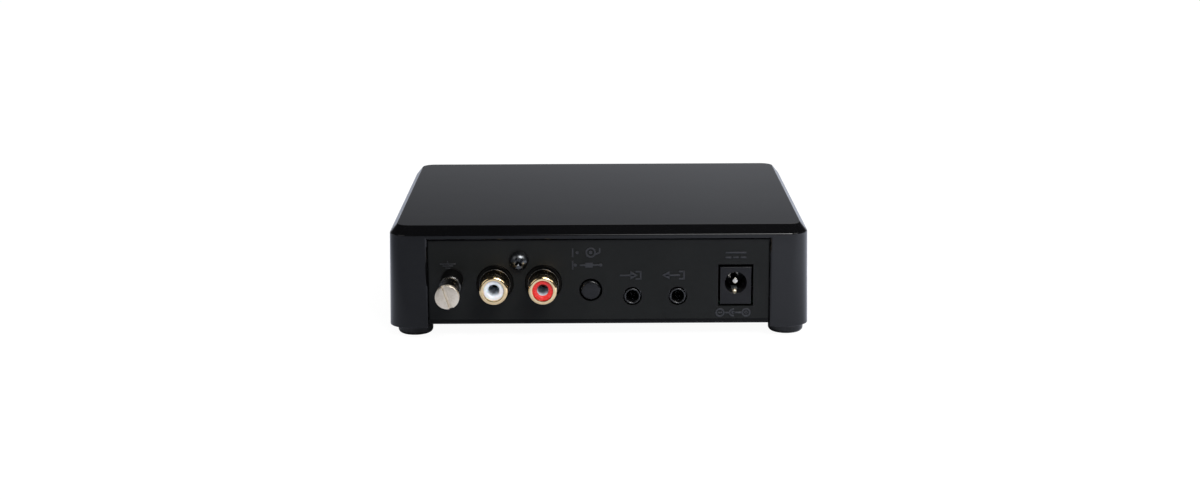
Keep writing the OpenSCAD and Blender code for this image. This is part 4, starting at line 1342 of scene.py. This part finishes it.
        # the polarity of the power pin
        pen.at(POWER_X - 0.7, BOARD_TOP_Z - 2.5)
        for x in (-3.8, 3.8):
            pen.ring(x, 0, 2.6)
            pen.bar((x - 0.6, 0), (x + 0.6, 0))
        pen.bar((3.8, -0.6), (3.8, 0.6))
        pen.disc(0, 0, 1)
        pen.ring(0, 0, 2.4, gap_from=0.3)
        pen.bar((-2.725, 0), (-1, 0))
        pen.bar((0, 0), (2.725, 0))
        return pen.bm

    def build(self) -> None:
        """Builds and dresses the panel."""
        plate = join_meshes([self.plate_mesh(), self.tongue_mesh()])
        for bm, place, dressing in (
                (plate, ROW_PLACE, Dressing("panel_plate", PANEL_ABS, "panel_matt",
                                            replaces=("rear_panel",), edge=self.edge)),
                # the lower edge gets a darker copy of the panel's finish, a painted shade
                (self.lower_mesh(), ROW_PLACE,
                 Dressing("panel_lower_edge", SHADED_EDGE_ABS, "panel_matt")),
                (self.marks_mesh(), panel_place(0, 0),
                 Dressing("panel_marks", MARK_ABS, "panel_matt", edge=self.mark_edge))):
            make_piece(bm, place, dressing)


# ---------------------------------------------------------------- phono sockets


@dataclass
class PhonoSockets:
    """Twin phono sockets in one black housing, and the screw that holds it."""

    shell_r: float = 4.15
    root_r: float = 3.9
    root_step: float = 0.06
    insert_r: float = 2.95
    bore_r: float = 1.65
    reach: float = 9.5
    face: float = 9.0
    lip: float = 0.7
    dish: float = 0.3
    # how far the dish's edges are eased at its rim and at its floor
    dish_eases: Pair = (0.04, 0.06)
    mouth: float = 0.5
    fit: float = 0.03
    collar_r: float = 5.25
    collar_step: float = 0.3
    collar_reach: float = 1.6
    front_collar_r: float = 4.5
    rim_w: float = 0.2
    contact_r: float = 1.9
    contact_depth: float = 12.1
    rod_r: float = 1.0
    back: float = -12.5
    rear: float = -15.5
    block_half: float = 12.25
    hump_half: float = 4.0
    hump_top: float = 9.8
    block_edge: float = 0.3
    # how far edges are rounded: a moulded one, one of an insert, a turned one, a keen one
    soft: float = 0.12
    round: float = 0.15
    turned: float = 0.1
    keen: float = 0.05
    screw_head_r: float = 2.8
    screw_head_h: float = 2.0
    screw_flat: float = 0.5
    # the head's dome: how high its centre lies, and the angle at which it ends
    screw_dome: Pair = (0.35, 80.0)
    screw_r: float = 1.4
    screw_l: float = 9.0
    # the cross recess: half its length, half its width, how deep and how high it is cut
    recess_half: float = 1.4
    recess_slot: float = 0.42
    recess_low: float = 2.25
    recess_high: float = 0.9
    recess_foot: Pair = (0.7, 0.85)
    recess_turn: float = 38.0

    def collar_mesh(self) -> BMesh:
        """Builds one stepped collar of the housing.

        Returns:
            The collar, about its own axis.
        """
        bore, front = self.root_r + self.fit, self.front_collar_r
        low, high = self.collar_reach - self.rim_w, self.collar_reach - self.rim_w / 3
        return lathe([(bore, -PANEL_T), (self.collar_r, -PANEL_T),
                      *rounded(self.collar_r, self.collar_step, self.soft),
                      (front, self.collar_step), (front, low), (front - self.rim_w, low),
                      (front - self.rim_w, high), (bore, high)])

    def rim_mesh(self) -> BMesh:
        """Builds the smooth rounded rim at the front of one collar.

        Returns:
            The rim, about its own axis.
        """
        half, r, low = self.rim_w / 2, self.front_collar_r, self.collar_reach - self.rim_w
        return lathe([(r - self.rim_w, low), (r, low),
                      *arc(r - half, self.collar_reach - half, half, 0, 180, 9)], steps=96)

    def block_mesh(self) -> BMesh:
        """Builds the block behind the panel with its raised middle.

        Returns:
            The block.
        """
        bm = bmesh.new()
        low = BOARD_TOP_Z - PHONO_Z
        for half, top in ((self.block_half, self.collar_r), (self.hump_half, self.hump_top)):
            add_block(bm, (-half, low, self.rear), (half, top, -PANEL_T), self.block_edge)
        return bm

    def sleeve_mesh(self) -> BMesh:
        """Builds the gold sleeve: a straight barrel with a rounded front lip.

        Returns:
            The sleeve.
        """
        r, lip, foot = self.shell_r, self.lip, self.collar_reach
        inner = self.insert_r + self.fit
        return lathe([(inner, self.back), (self.root_r, self.back), (self.root_r, foot),
                      (r - self.root_step, foot), (r, foot + self.turned),
                      (r, self.reach - lip - 2 * self.turned), *rounded(r, self.reach, lip, 9),
                      *arc(inner + self.keen, self.reach - self.keen, self.keen, 90, 180, 2)],
                     steps=96)

    def insert_mesh(self) -> BMesh:
        """Builds the coloured insert, dished round the pin's hole.

        Returns:
            The insert.
        """
        r, face, bore = self.insert_r, self.face, self.bore_r
        rim, floor = bore + self.dish, face - self.dish
        rim_ease, floor_ease = self.dish_eases
        return lathe([(self.contact_r + self.fit, self.back), (r, self.back),
                      (r, face - self.round), *rounded(r, face, self.round),
                      (rim + self.soft, face), (rim, face - rim_ease),
                      (bore + self.soft, floor + floor_ease), (bore, floor - self.turned),
                      (bore, face - self.mouth), (self.contact_r + self.fit, face - self.mouth)],
                     steps=80)

    def contact_mesh(self) -> BMesh:
        """Builds the centre contact, a tinned sleeve closed at its back, and its rod.

        Returns:
            The contact.
        """
        front, r = self.face - self.mouth, self.contact_r
        floor = front - self.contact_depth
        return lathe([(0, self.rear), (self.rod_r, self.rear), (self.rod_r, self.back),
                      (r, self.back), (r, front - self.turned), (r - self.keen, front),
                      (self.bore_r, front), (self.bore_r, floor), (0, floor)],
                     steps=56, closed=False)

    def screw_mesh(self) -> BMesh:
        """Builds the domed screw with its cross recess.

        Returns:
            The screw.
        """
        r, h, flat = self.screw_head_r, self.screw_head_h, self.screw_flat
        centre, end = self.screw_dome
        bm = lathe([(0, -self.screw_l), (self.screw_r, -self.screw_l), (self.screw_r, 0),
                    (r - self.turned, 0), (r, self.turned),
                    *arc(flat, centre, r - flat, 0, end, 12), (0, h)], steps=64, closed=False)
        for turn in (0, 90):
            bm = saw(bm, (-self.recess_half, -self.recess_slot, h - self.recess_low),
                     (self.recess_half, self.recess_slot, h + self.recess_high),
                     turn + self.recess_turn, self.recess_foot)
        return bm

    def build(self) -> None:
        """Builds and dresses the sockets."""
        pair = [(x - PHONO_X, 0) for x in PHONO_XS]
        middle = panel_place(PHONO_X, PHONO_Z)
        block = join_meshes([repeat_at(self.collar_mesh(), pair), self.block_mesh()])
        make_piece(block, middle, Dressing(
            "phono_block", SOCKET_PBT, "socket_black", replaces=("phono_housing",)))
        # the rims' lighter finish paints the highlight along the collars' front edges
        make_piece(repeat_at(self.rim_mesh(), pair), middle, Dressing(
            "phono_rims", LIT_RIM_PBT, "socket_black"))
        for side, x, nylon, slot in (("left", PHONO_XS[0], WHITE_NYLON, "insert_white"),
                                     ("right", PHONO_XS[1], RED_NYLON, "insert_red")):
            gold = TurnedMetal(f"gold_plate_{side}", "#ffe3b2", "#f3d39c", 0.07,
                               grain_depth_mm=0.0005, axis_x=x, axis_z=PHONO_Z)
            for bm, name, finish, its_slot, node in (
                    (self.sleeve_mesh(), "sleeve", gold, "gold_plate", "shell"),
                    (self.insert_mesh(), "insert", nylon, slot, "insert"),
                    (self.contact_mesh(), "contact", MATT_TIN, "tin_plate", "contact")):
                make_piece(bm, panel_place(x, PHONO_Z), Dressing(
                    f"{side}_{name}", finish, its_slot, replaces=(f"{side}_phono_{node}",)))
        make_piece(self.screw_mesh(), panel_place(PHONO_X, PHONO_SCREW_Z), Dressing(
            "phono_screw", BLACK_ZINC, "black_zinc", replaces=("phono_fixing_screw",)))


# ---------------------------------------------------------------- line sockets


@dataclass
class LineSockets:
    """The 3.5 mm jacks: a bored nose flush with the panel, and a body behind it."""

    nose_r: float = 2.3
    nose_round: float = 0.2
    bore_r: float = 1.8
    mouth_round: float = 0.28
    bore_depth: float = 13.0
    body_half_w: float = 3.2
    body_half_h: float = 2.5
    body_edge: float = 0.25
    depth: float = 12.0

    def jack_mesh(self) -> BMesh:
        """Builds one jack.

        Returns:
            The jack, about its own axis.
        """
        mouth, w, h = self.mouth_round, self.body_half_w, self.body_half_h
        nose = lathe([(self.bore_r, -PANEL_T), (self.nose_r, -PANEL_T),
                      *rounded(self.nose_r, 0, self.nose_round, 5),
                      *arc(self.bore_r + mouth, -mouth, mouth, 90, 180, 5)], steps=64)
        body = bmesh.new()
        add_block(body, (-w, -h, -PANEL_T - self.depth), (w, h, -PANEL_T), self.body_edge)
        front = round_face(body, Vector((0, 0, -PANEL_T)), OUTWARD, self.bore_r)
        sink_face(body, front, self.bore_depth - PANEL_T)
        return join_meshes([nose, body])

    def build(self) -> None:
        """Builds and dresses both jacks."""
        for name, x in zip(("line_in", "line_out"), LINE_XS):
            make_piece(self.jack_mesh(), panel_place(x, LINE_Z), Dressing(
                f"{name}_jack", NOSE_PBT, "socket_black", replaces=(f"{name}_socket",)))
            dress_nodes(TIN_PLATE, f"{name}_contacts")


# ---------------------------------------------------------------- power socket


@dataclass
class PowerSocket:
    """The power jack: a square face, a round hole, a pin and a spring blade."""

    half_w: float = 4.5
    height: float = 11.0
    flange: float = 3.5
    depth: float = 14.2
    barrel_top: float = 3.6
    barrel_edge: float = 0.3
    hole_r: float = 3.15
    hole_depth: float = 11.2
    pin_r: float = 1.0
    pin_root_r: float = 1.5
    pin_set: float = 2.4
    pin_round: float = 0.45
    crown_r: float = 0.9
    crown_half_w: float = 0.55
    # how much smaller the crown's barrel is at its ends and halfway to them
    crown_falls: Pair = (0.14, 0.03)
    crown_set: float = 2.6
    crown_x: float = -0.2
    face_edge: float = 0.3

    def socket_mesh(self) -> BMesh:
        """Builds the black body with its hole.

        Returns:
            The body, about the hole's axis.
        """
        low, half, step = BOARD_TOP_Z - POWER_HOLE_Z, self.half_w, -self.flange
        flange = bmesh.new()
        add_block(flange, (-half, low, step), (half, low + self.height, 0))
        rims = []
        for station, towards in ((0, OUTWARD), (step, -OUTWARD)):
            mouth = round_face(flange, Vector((0, 0, station)), towards, self.hole_r, steps=72)
            rims += list(mouth.edges)
            bmesh.ops.delete(flange, geom=[mouth], context="FACES_ONLY")
        bmesh.ops.bridge_loops(flange, edges=rims)
        barrel = bmesh.new()
        add_block(barrel, (-half, low, -self.depth), (half, self.barrel_top, step),
                  self.barrel_edge)
        floor = round_face(barrel, Vector((0, 0, step)), OUTWARD, self.hole_r, steps=72)
        sink_face(barrel, floor, self.hole_depth - self.flange)
        return join_meshes([flange, barrel])

    def pin_mesh(self) -> BMesh:
        """Builds the centre pin with its rounded tip.

        Returns:
            The pin.
        """
        r, root, tip = self.pin_r, self.pin_root_r, -self.pin_set
        return lathe([(0, -self.depth), (root, -self.depth), (root, -self.hole_depth),
                      (r, -self.hole_depth), *rounded(r, tip, self.pin_round, 6), (0, tip)],
                     steps=48, closed=False)

    def crown_mesh(self) -> BMesh:
        """Builds the spring contact's crown, a barrel that stands up from the hole's floor.

        Returns:
            The crown, at its place in the hole.
        """
        r, w = self.crown_r, self.crown_half_w
        end_r, half_r = [r - fall for fall in self.crown_falls]
        bm = lathe([(0, -w), (end_r, -w), (half_r, -w / 2), (r, 0), (half_r, w / 2), (end_r, w),
                    (0, w)], steps=48, closed=False)
        seat = Matrix.Translation((self.crown_x, -self.hole_r, -self.crown_set))
        bmesh.ops.transform(bm, matrix=seat @ Matrix.Rotation(math.pi / 2, 4, "Y"),
                            verts=bm.verts)
        return bm

    def build(self) -> None:
        """Builds and dresses the socket."""
        for bm, dressing in (
                (self.socket_mesh(), Dressing(
                    "power_jack", JACK_PBT, "socket_black", replaces=("power_socket",),
                    edge=self.face_edge, edge_segments=3)),
                (self.pin_mesh(), Dressing(
                    "power_pin", SPRING_STEEL, "tin_plate", replaces=("power_centre_pin",))),
                (self.crown_mesh(), Dressing("power_contact_crown", WARM_TIN, "tin_plate"))):
            make_piece(bm, panel_place(POWER_X, POWER_HOLE_Z), dressing)
        dress_nodes(MATT_TIN, "power_spring_contact")


# ---------------------------------------------------------------- selector


@dataclass
class Selector:
    """The pushbutton and the switch behind it."""

    radius: float = 2.84
    face: float = 0.5
    back: float = -5.0
    edge: float = 0.6
    crown: float = 0.08
    # where the crown bends: its share of the radius, and of the crown's height from the top
    crown_bend: Pair = (0.5, 0.3)
    coil_r: float = 2.3
    coil_front: float = -5.85
    coil_back: float = -10.2
    wire: float = 0.4
    wire_sides: int = 8
    turns: int = 4
    turn_steps: int = 24
    travel: float = 2.4

    def cap_mesh(self) -> BMesh:
        """Builds the button's cap with its slightly crowned face.

        Returns:
            The cap.
        """
        r = self.radius
        out, down = self.crown_bend
        return lathe([(0, self.back), (r, self.back),
                      *rounded(r, self.face - self.crown, self.edge, 7),
                      (r * out, self.face - self.crown * down), (0, self.face)],
                     steps=72, closed=False)

    def coil_mesh(self) -> BMesh:
        """Builds the return spring, which reaches from the plunger's shoulder to the switch.

        Returns:
            The spring.
        """
        bm, steps = bmesh.new(), self.turns * self.turn_steps
        first = Matrix.Translation((self.coil_r, 0, self.coil_front - self.wire / 2))
        bmesh.ops.create_circle(bm, cap_ends=False, radius=self.wire / 2,
                                segments=self.wire_sides,
                                matrix=first @ Matrix.Rotation(math.pi / 2, 4, "X"))
        rise = (self.coil_front - self.coil_back - self.wire) / steps
        bmesh.ops.spin(bm, geom=[*bm.verts, *bm.edges], cent=(0, 0, 0), axis=(0, 0, 1),
                       dvec=(0, 0, -rise), angle=self.turns * math.tau, steps=steps)
        close_ends(bm, self.wire_sides)
        return bm

    def build(self) -> None:
        """Builds and dresses the selector."""
        place = panel_place(BUTTON_X, BUTTON_Z)
        make_piece(self.cap_mesh(), place, Dressing(
            "selector_cap", BUTTON_ABS, "socket_black", Body.SELECTOR, ("selector_button",)))
        coil = make_piece(self.coil_mesh(), place, Dressing(
            "selector_coil", SPRING_STEEL, "tin_plate", Body.ROOT, ("selector_spring",)))
        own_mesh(coil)
        dress_nodes(PLUNGER_NYLON, "selector_plunger")
        dress_nodes(CHIP_EPOXY, "selector_switch")


# ---------------------------------------------------------------- ground terminal


@dataclass
class GroundTerminal:
    """The bush, the washer and the knurled, slotted thumbscrew."""

    bush_r: float = 3.2
    bush_l: float = 8.4
    bush_round: float = 0.3
    tail_r: float = 2.5
    tail_l: float = 8.5
    bore_r: float = 2.05
    chamfer: float = 0.1
    washer_r: float = 3.05
    washer_s: float = 8.5
    washer_t: float = 0.6
    washer_round: float = 0.25
    shank_r: float = 2.0
    shank_tip: Pair = (0.2, 0.3)
    fit: float = 0.05
    grip_r: float = 2.9
    grip_s: float = 9.2
    # the plain necks before and behind the knurl
    necks: Pair = (0.5, 0.35)
    face_s: float = 19.9
    tip_s: float = 21.5
    face_r: float = 3.4
    # the face's roundings at its back and its front
    face_rounds: Pair = (0.15, 0.18)
    slot_w: float = 1.05
    slot_depth: float = 1.1
    slot_angle: float = 109.0
    # the grooves that a saw with set teeth leaves at both sides of the slot's floor
    groove: float = 0.2
    knurl_count: int = 26
    knurl_depth: float = 0.28
    # how much longer a pyramid is than it is wide
    knurl_stretch: float = 1.1

    def bush_mesh(self) -> BMesh:
        """Builds the bush with its threaded tail.

        Returns:
            The bush.
        """
        r, tail = self.bush_r, self.tail_r
        return lathe([(self.bore_r, -self.tail_l), (tail, -self.tail_l), (tail, 0),
                      (r - self.chamfer, 0), (r, self.chamfer),
                      *rounded(r, self.bush_l, self.bush_round, 5), (self.bore_r, self.bush_l)])

    def washer_mesh(self) -> BMesh:
        """Builds the washer with rounded edges.

        Returns:
            The washer.
        """
        r, s, e = self.washer_r, self.washer_s, self.washer_round
        bore, end = self.shank_r + self.fit, s + self.washer_t
        return lathe([(bore, s), *arc(r - e, s + e, e, -90, 0, 4), *rounded(r, end, e, 4),
                      (bore, end)], steps=80)

    def grip_mesh(self) -> BMesh:
        """Builds the grip's diamond knurl: pyramids between crossed grooves.

        Returns:
            The knurl, closed at its ends.
        """
        columns = 2 * self.knurl_count
        start, end = self.grip_s + self.necks[0], self.face_s - self.necks[1]
        pitch = math.tau * self.grip_r / self.knurl_count
        rows = 2 * max(1, round((end - start) / (pitch * self.knurl_stretch)))
        low_r = self.grip_r - self.knurl_depth
        bm = lathe([(low_r, start + (end - start) * j / rows) for j in range(rows + 1)],
                   steps=columns, closed=False)
        for vert in bm.verts:
            column = round(math.atan2(vert.co.y, vert.co.x) / math.tau * columns)
            row = round((vert.co.z - start) / (end - start) * rows)
            if (column + row) % 2 == 0 and 0 < row < rows:
                vert.co.x *= self.grip_r / low_r
                vert.co.y *= self.grip_r / low_r
        bmesh.ops.triangulate(bm, faces=bm.faces, quad_method="SHORT_EDGE")
        close_ends(bm, columns)
        return bm

    def core_mesh(self) -> BMesh:
        """Builds the shank, the necks beside the knurl, and the face with its sawn slot.

        Returns:
            The thumbscrew without its knurl.
        """
        low_r = self.grip_r - self.knurl_depth
        r, s, tip = self.face_r, self.face_s, self.tip_s
        back, front = self.face_rounds
        shank_s = PANEL_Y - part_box("ground_thumbscrew")[1].y / MM
        bm = lathe([(0, shank_s), (self.shank_r - self.shank_tip[0], shank_s),
                    (self.shank_r, shank_s + self.shank_tip[1]), (self.shank_r, self.grip_s),
                    (low_r, self.grip_s), (low_r, s), (r - back, s), (r, s + back),
                    *rounded(r, tip, front, 4), (0, tip)], steps=80, closed=False)
        half, deep = self.slot_w / 2, self.slot_depth + self.groove
        for low, high, depth in ((-half, half, self.slot_depth),
                                 (-half, self.groove - half, deep),
                                 (half - self.groove, half, deep)):
            bm = saw(bm, (-r - APART, low, tip - depth), (r + APART, high, tip + APART),
                     self.slot_angle)
        return bm

    def build(self) -> None:
        """Builds and dresses the terminal."""
        axis = {"axis_x": GROUND_X, "axis_z": GROUND_Z}
        nickel = TurnedMetal("nickel_turned", "#fcefda", "#ebdcc4", 0.3, grain_mm=0.22,
                             grain_depth_mm=0.003, **axis)
        dull = TurnedMetal("nickel_dull", "#6c6b69", "#555452", 0.16, **axis)
        knurl = TurnedMetal("nickel_knurled", "#504e4b", "#3a3836", 0.2, **axis)
        for bm, dressing in (
                (self.bush_mesh(), Dressing(
                    "terminal_bush", BUSH_PBT, "socket_black", replaces=("ground_bush",))),
                (self.washer_mesh(), Dressing(
                    "terminal_washer", dull, "nickel_turned", Body.CARRIER,
                    ("ground_washer",))),
                (self.core_mesh(), Dressing(
                    "thumbscrew_core", nickel, "nickel_turned", Body.GROUND_SCREW,
                    ("ground_thumbscrew",))),
                (self.grip_mesh(), Dressing(
                    "thumbscrew_knurl", knurl, "nickel_turned", Body.GROUND_SCREW,
                    edge_angle=1.0))):
            make_piece(bm, panel_place(GROUND_X, GROUND_Z), dressing)
        dress_nodes(TIN_PLATE, "ground_nut", "ground_solder_tag")
        dress_nodes(WIRE_PVC, "ground_lead")


# ---------------------------------------------------------------- electronics


@dataclass
class Electronics:
    """The board and what stands on it, hidden in the case."""

    dressed: tuple[tuple[Finish, tuple[str, ...]], ...] = (
        (BOARD_MASK, ("circuit_board",)), (TIN_PLATE, ("board_screws",)),
        (SLEEVE_PVC, ("supply_capacitors", "signal_capacitors")),
        (FILM_EPOXY, ("film_capacitors",)), (LACQUER, ("resistors",)),
        (CHIP_EPOXY, ("amplifier_chips", "voltage_regulator")))

    def build(self) -> None:
        """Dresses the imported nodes."""
        for finish, names in self.dressed:
            dress_nodes(finish, *names)


# ---------------------------------------------------------------- studio

# a ramp: its axis, where it starts and ends, and what it gives at either end
Ramp = tuple[str, float, float, float, float]


@dataclass(frozen=True)
class Softbox:
    """A rectangular lamp that looks at the object.

    Its side is in degrees from the panel's side towards the right, its distance and size are in
    metres, and its radiance is 1 where its face is white. Its left side fades out over a share
    of its width.
    """

    name: str
    side: float
    height: float
    distance: float
    size: tuple[float, float]
    radiance: float
    soft_side: float = 0.0
    aim_z: float = 0.015

    def build(self) -> None:
        """Builds the lamp."""
        lamp = bpy.data.lights.new(self.name, "AREA")
        lamp.shape = "RECTANGLE"
        lamp.size, lamp.size_y = self.size
        lamp.energy = self.radiance * math.pi * self.size[0] * self.size[1]
        if self.soft_side:
            lamp.use_nodes = True
            tree = lamp.node_tree
            tree.nodes.clear()
            across = add_node(tree, "ShaderNodeSeparateXYZ", {
                0: add_node(tree, "ShaderNodeNewGeometry").outputs["Parametric"]})
            fade = add_node(tree, "ShaderNodeMapRange", {0: across, 2: self.soft_side})
            glow = add_node(tree, "ShaderNodeEmission", {"Strength": fade})
            add_node(tree, "ShaderNodeOutputLight", {"Surface": glow})
        thing = stand(self.name, lamp)
        a, e = math.radians(self.side), math.radians(self.height)
        way = Vector((math.sin(a) * math.cos(e), -math.cos(a) * math.cos(e), math.sin(e)))
        thing.location = Vector((0, 0, self.aim_z)) + way * self.distance
        thing.rotation_euler = way.to_track_quat("Z", "Y").to_euler()
        thing.visible_camera = False


@dataclass
class Studio:
    """The pale floor, the soft lamps, the surroundings and the camera."""

    floor_half: float = 3.0
    camera_at: tuple[float, float, float] = (-0.001565, -0.596273, 0.151098)
    camera_tilt: float = 12.7005
    camera_yaw: float = 0.1995
    camera_roll: float = -0.233
    camera_lens: float = 59.34
    sensor_w: float = 36.0
    nearest: float = 0.01
    ambient: float = 0.5
    floor_white: float = 0.95
    floor_albedo: float = 0.09
    fibre_mm: float = 2.0
    fibre_depth_mm: float = 0.01
    # the lamps' fall-off on the floor as gloss sees it, from left to right
    floor_in_gloss: tuple[str, str] = ("#a8adba", "#ebf0ff")
    # painted shade: in gloss the floor fades to this dark tone from 0.19 m to 0.34 m out on the
    # panel's side
    far_floor_painted_dark: str = "#303134"
    # how bright the surroundings look in gloss, by the sine of the height above the horizon
    sky_steps: tuple[tuple[float, float], ...] = (
        (0.0, 1.0), (0.10, 0.56), (0.18, 0.225), (0.212, 0.15), (0.30, 0.05), (1.0, 0.025))
    sky_tone: tuple[float, float, float] = (0.98, 1.01, 1.09)
    # the room on the panel's side looks this dark in gloss
    room_level: float = 0.05
    # the ramps over which the surroundings and the floor change in gloss
    sky_ramps: tuple[tuple[str, Ramp], ...] = (
        ("height", ("Z", 0.0, 1.0, 0.0, 1.0)), ("steepness", ("Z", 0.3, 0.9, 1.9, 8.0)),
        ("side", ("X", -0.1, 0.1, -0.1, 0.1)), ("ahead", ("Y", -0.05, 0.05, 1.0, 0.0)))
    floor_ramps: tuple[tuple[str, Ramp], ...] = (
        ("across", ("X", -0.065, 0.065, 0.0, 1.0)), ("beside", ("X", -0.19, -0.1, 0.0, 1.0)),
        ("forward", ("Y", -0.085, -0.025, 0.0, 0.6)), ("near", ("Y", 0.03, 0.12, 1.0, 0.0)),
        ("painted_far_shade", ("Y", -0.34, -0.19, 0.0, 1.0)), ("right", ("X", 0.08, 0.16, 0.0, 0.4)),
        ("middle", ("Y", -0.16, -0.11, 0.0, 1.0)))
    lamps: tuple[Softbox, ...] = (
        Softbox("key", 16.5, 42, 1.5, (0.78, 0.54), 18.5, soft_side=0.55),
        Softbox("side", 58, 36, 1.6, (0.6, 0.45), 3.5),
        Softbox("left_fill", -55, 30, 1.6, (0.9, 0.9), 0.8),
        Softbox("front_fill", 160, 45, 1.8, (1.2, 0.9), 1.2))

    def build_world(self) -> None:
        """Builds the surroundings: white for the camera, a dark-topped studio in gloss."""
        world = bpy.data.worlds.new("studio")
        bpy.context.scene.world = world
        world.use_nodes = True
        tree = world.node_tree
        tree.nodes.clear()
        path = add_node(tree, "ShaderNodeLightPath").outputs
        way = add_node(tree, "ShaderNodeSeparateXYZ", {
            0: add_node(tree, "ShaderNodeTexCoord").outputs["Generated"]}).outputs
        ramps = {name: add_node(tree, "ShaderNodeMapRange", dict(enumerate((way[axis], *ends))))
                 for name, (axis, *ends) in self.sky_ramps}
        sky = add_node(tree, "ShaderNodeValToRGB", {"Fac": ramps["height"]})
        points = sky.color_ramp.elements
        while len(points) < len(self.sky_steps):
            points.new(0.5)
        for point, (height, level) in zip(points, self.sky_steps):
            point.position = height
            point.color = (*(level * tone for tone in self.sky_tone), 1.0)
        # one plus the lean: the sky is darker towards the left, and the more so the higher it is
        lean = add_node(tree, "ShaderNodeMath", {0: ramps["steepness"], 1: ramps["side"]},
                        operation="MULTIPLY")
        slant = add_node(tree, "ShaderNodeMapRange", {0: lean, 1: -1.0, 2: 0.12, 3: 0.0, 4: 1.12})
        room = (*(self.room_level * tone for tone in self.sky_tone), 1.0)
        seen, soft, behind, front = [
            add_node(tree, "ShaderNodeBackground", {"Color": colour, "Strength": strength})
            for colour, strength in (((1, 1, 1, 1), 1.0), ((1, 1, 1, 1), self.ambient),
                                     (sky, slant), (room, slant))]
        mirrored = add_node(tree, "ShaderNodeMath", {
            0: path["Is Glossy Ray"], 1: path["Is Transmission Ray"]}, operation="MAXIMUM")
        gloss = add_node(tree, "ShaderNodeMixShader", {0: ramps["ahead"], 1: behind, 2: front})
        unseen = add_node(tree, "ShaderNodeMixShader", {0: mirrored, 1: soft, 2: gloss})
        mix = add_node(tree, "ShaderNodeMixShader", {
            0: path["Is Camera Ray"], 1: unseen, 2: seen})
        add_node(tree, "ShaderNodeOutputWorld", {"Surface": mix})

    def build_floor(self) -> None:
        """Builds the floor: near white to the camera, with the object's shadow on it."""
        bm = bmesh.new()
        bmesh.ops.create_grid(bm, x_segments=1, y_segments=1, size=self.floor_half)
        floor = stand("floor", settled(bm, "floor"))
        material, tree, place = blank_material("paper_white")
        path = add_node(tree, "ShaderNodeLightPath").outputs
        fibres = add_node(tree, "ShaderNodeBump", {
            "Height": Blots(self.fibre_mm, 3.0).draw(tree, place),
            "Distance": self.fibre_depth_mm * MM, "Strength": 1.0})
        paper = add_node(tree, "ShaderNodeBsdfDiffuse", {
            "Color": (*[self.floor_albedo] * 3, 1), "Normal": fibres})
        glow = add_node(tree, "ShaderNodeEmission", {
            "Color": (1, 1, 1, 1), "Strength": self.floor_white})
        seen = add_node(tree, "ShaderNodeAddShader", {0: paper, 1: glow})
        spot = add_node(tree, "ShaderNodeSeparateXYZ", {0: place}).outputs
        ramps = {name: add_node(tree, "ShaderNodeMapRange", dict(enumerate((spot[axis], *ends))))
                 for name, (axis, *ends) in self.floor_ramps}
        for name, first, second, operation in (
                ("lit_left", "beside", "forward", "MULTIPLY"),
                ("lit", "across", "lit_left", "MAXIMUM"), ("shade", "lit", "near", "MULTIPLY"),
                ("glare", "right", "middle", "MULTIPLY")):
            ramps[name] = add_node(tree, "ShaderNodeMath", {0: ramps[first], 1: ramps[second]},
                                   operation=operation)
        dark, bright = map(to_linear, self.floor_in_gloss)
        shade = add_node(tree, "ShaderNodeMix", {0: ramps["shade"], 6: dark, 7: bright},
                         data_type="RGBA").outputs[2]
        # painted shade: in gloss the far floor on the panel's side turns dark
        painted_far_shade = add_node(tree, "ShaderNodeMix", {
            0: ramps["painted_far_shade"], 6: to_linear(self.far_floor_painted_dark), 7: shade}, data_type="RGBA")
        matt = add_node(tree, "ShaderNodeBsdfDiffuse", {"Color": painted_far_shade.outputs[2]})
        glare = add_node(tree, "ShaderNodeEmission", {
            "Color": bright, "Strength": ramps["glare"]})
        in_gloss = add_node(tree, "ShaderNodeAddShader", {0: matt, 1: glare})
        mix = add_node(tree, "ShaderNodeMixShader", {
            0: path["Is Camera Ray"], 1: in_gloss, 2: seen})
        add_node(tree, "ShaderNodeOutputMaterial", {"Surface": mix})
        floor.data.materials.append(material)

    def build_camera(self) -> None:
        """Builds the camera at its measured place."""
        camera = bpy.data.cameras.new("camera")
        camera.lens = self.camera_lens
        camera.sensor_width = self.sensor_w
        camera.sensor_fit = "HORIZONTAL"
        camera.clip_start = self.nearest
        thing = stand("camera", camera)
        tilt, yaw, roll = map(math.radians, (self.camera_tilt, self.camera_yaw, self.camera_roll))
        ahead = Vector((math.sin(yaw) * math.cos(tilt), math.cos(yaw) * math.cos(tilt),
                        -math.sin(tilt)))
        flat_right = Vector((math.cos(yaw), -math.sin(yaw), 0))
        flat_up = flat_right.cross(ahead)
        right = flat_right * math.cos(roll) + flat_up * math.sin(roll)
        up = flat_up * math.cos(roll) - flat_right * math.sin(roll)
        turn = Matrix((right, up, -ahead)).transposed()
        thing.matrix_world = Matrix.Translation(self.camera_at) @ turn.to_4x4()
        bpy.context.scene.camera = thing

    def build(self) -> None:
        """Builds the studio."""
        self.build_world()
        self.build_floor()
        for lamp in self.lamps:
            lamp.build()
        self.build_camera()
        bpy.context.scene.view_settings.view_transform = "Standard"


def main() -> None:
    """Builds every sub-assembly and the studio in order."""
    logging.basicConfig(level=logging.INFO, format="%(name)s %(message)s")
    for part in (Case(), RearPanel(), PhonoSockets(), LineSockets(), PowerSocket(), Selector(),
                 GroundTerminal(), Electronics(), Studio()):
        part.build()
        LOG.info("built %s", type(part).__name__)


if __name__ == "__main__":
    main()
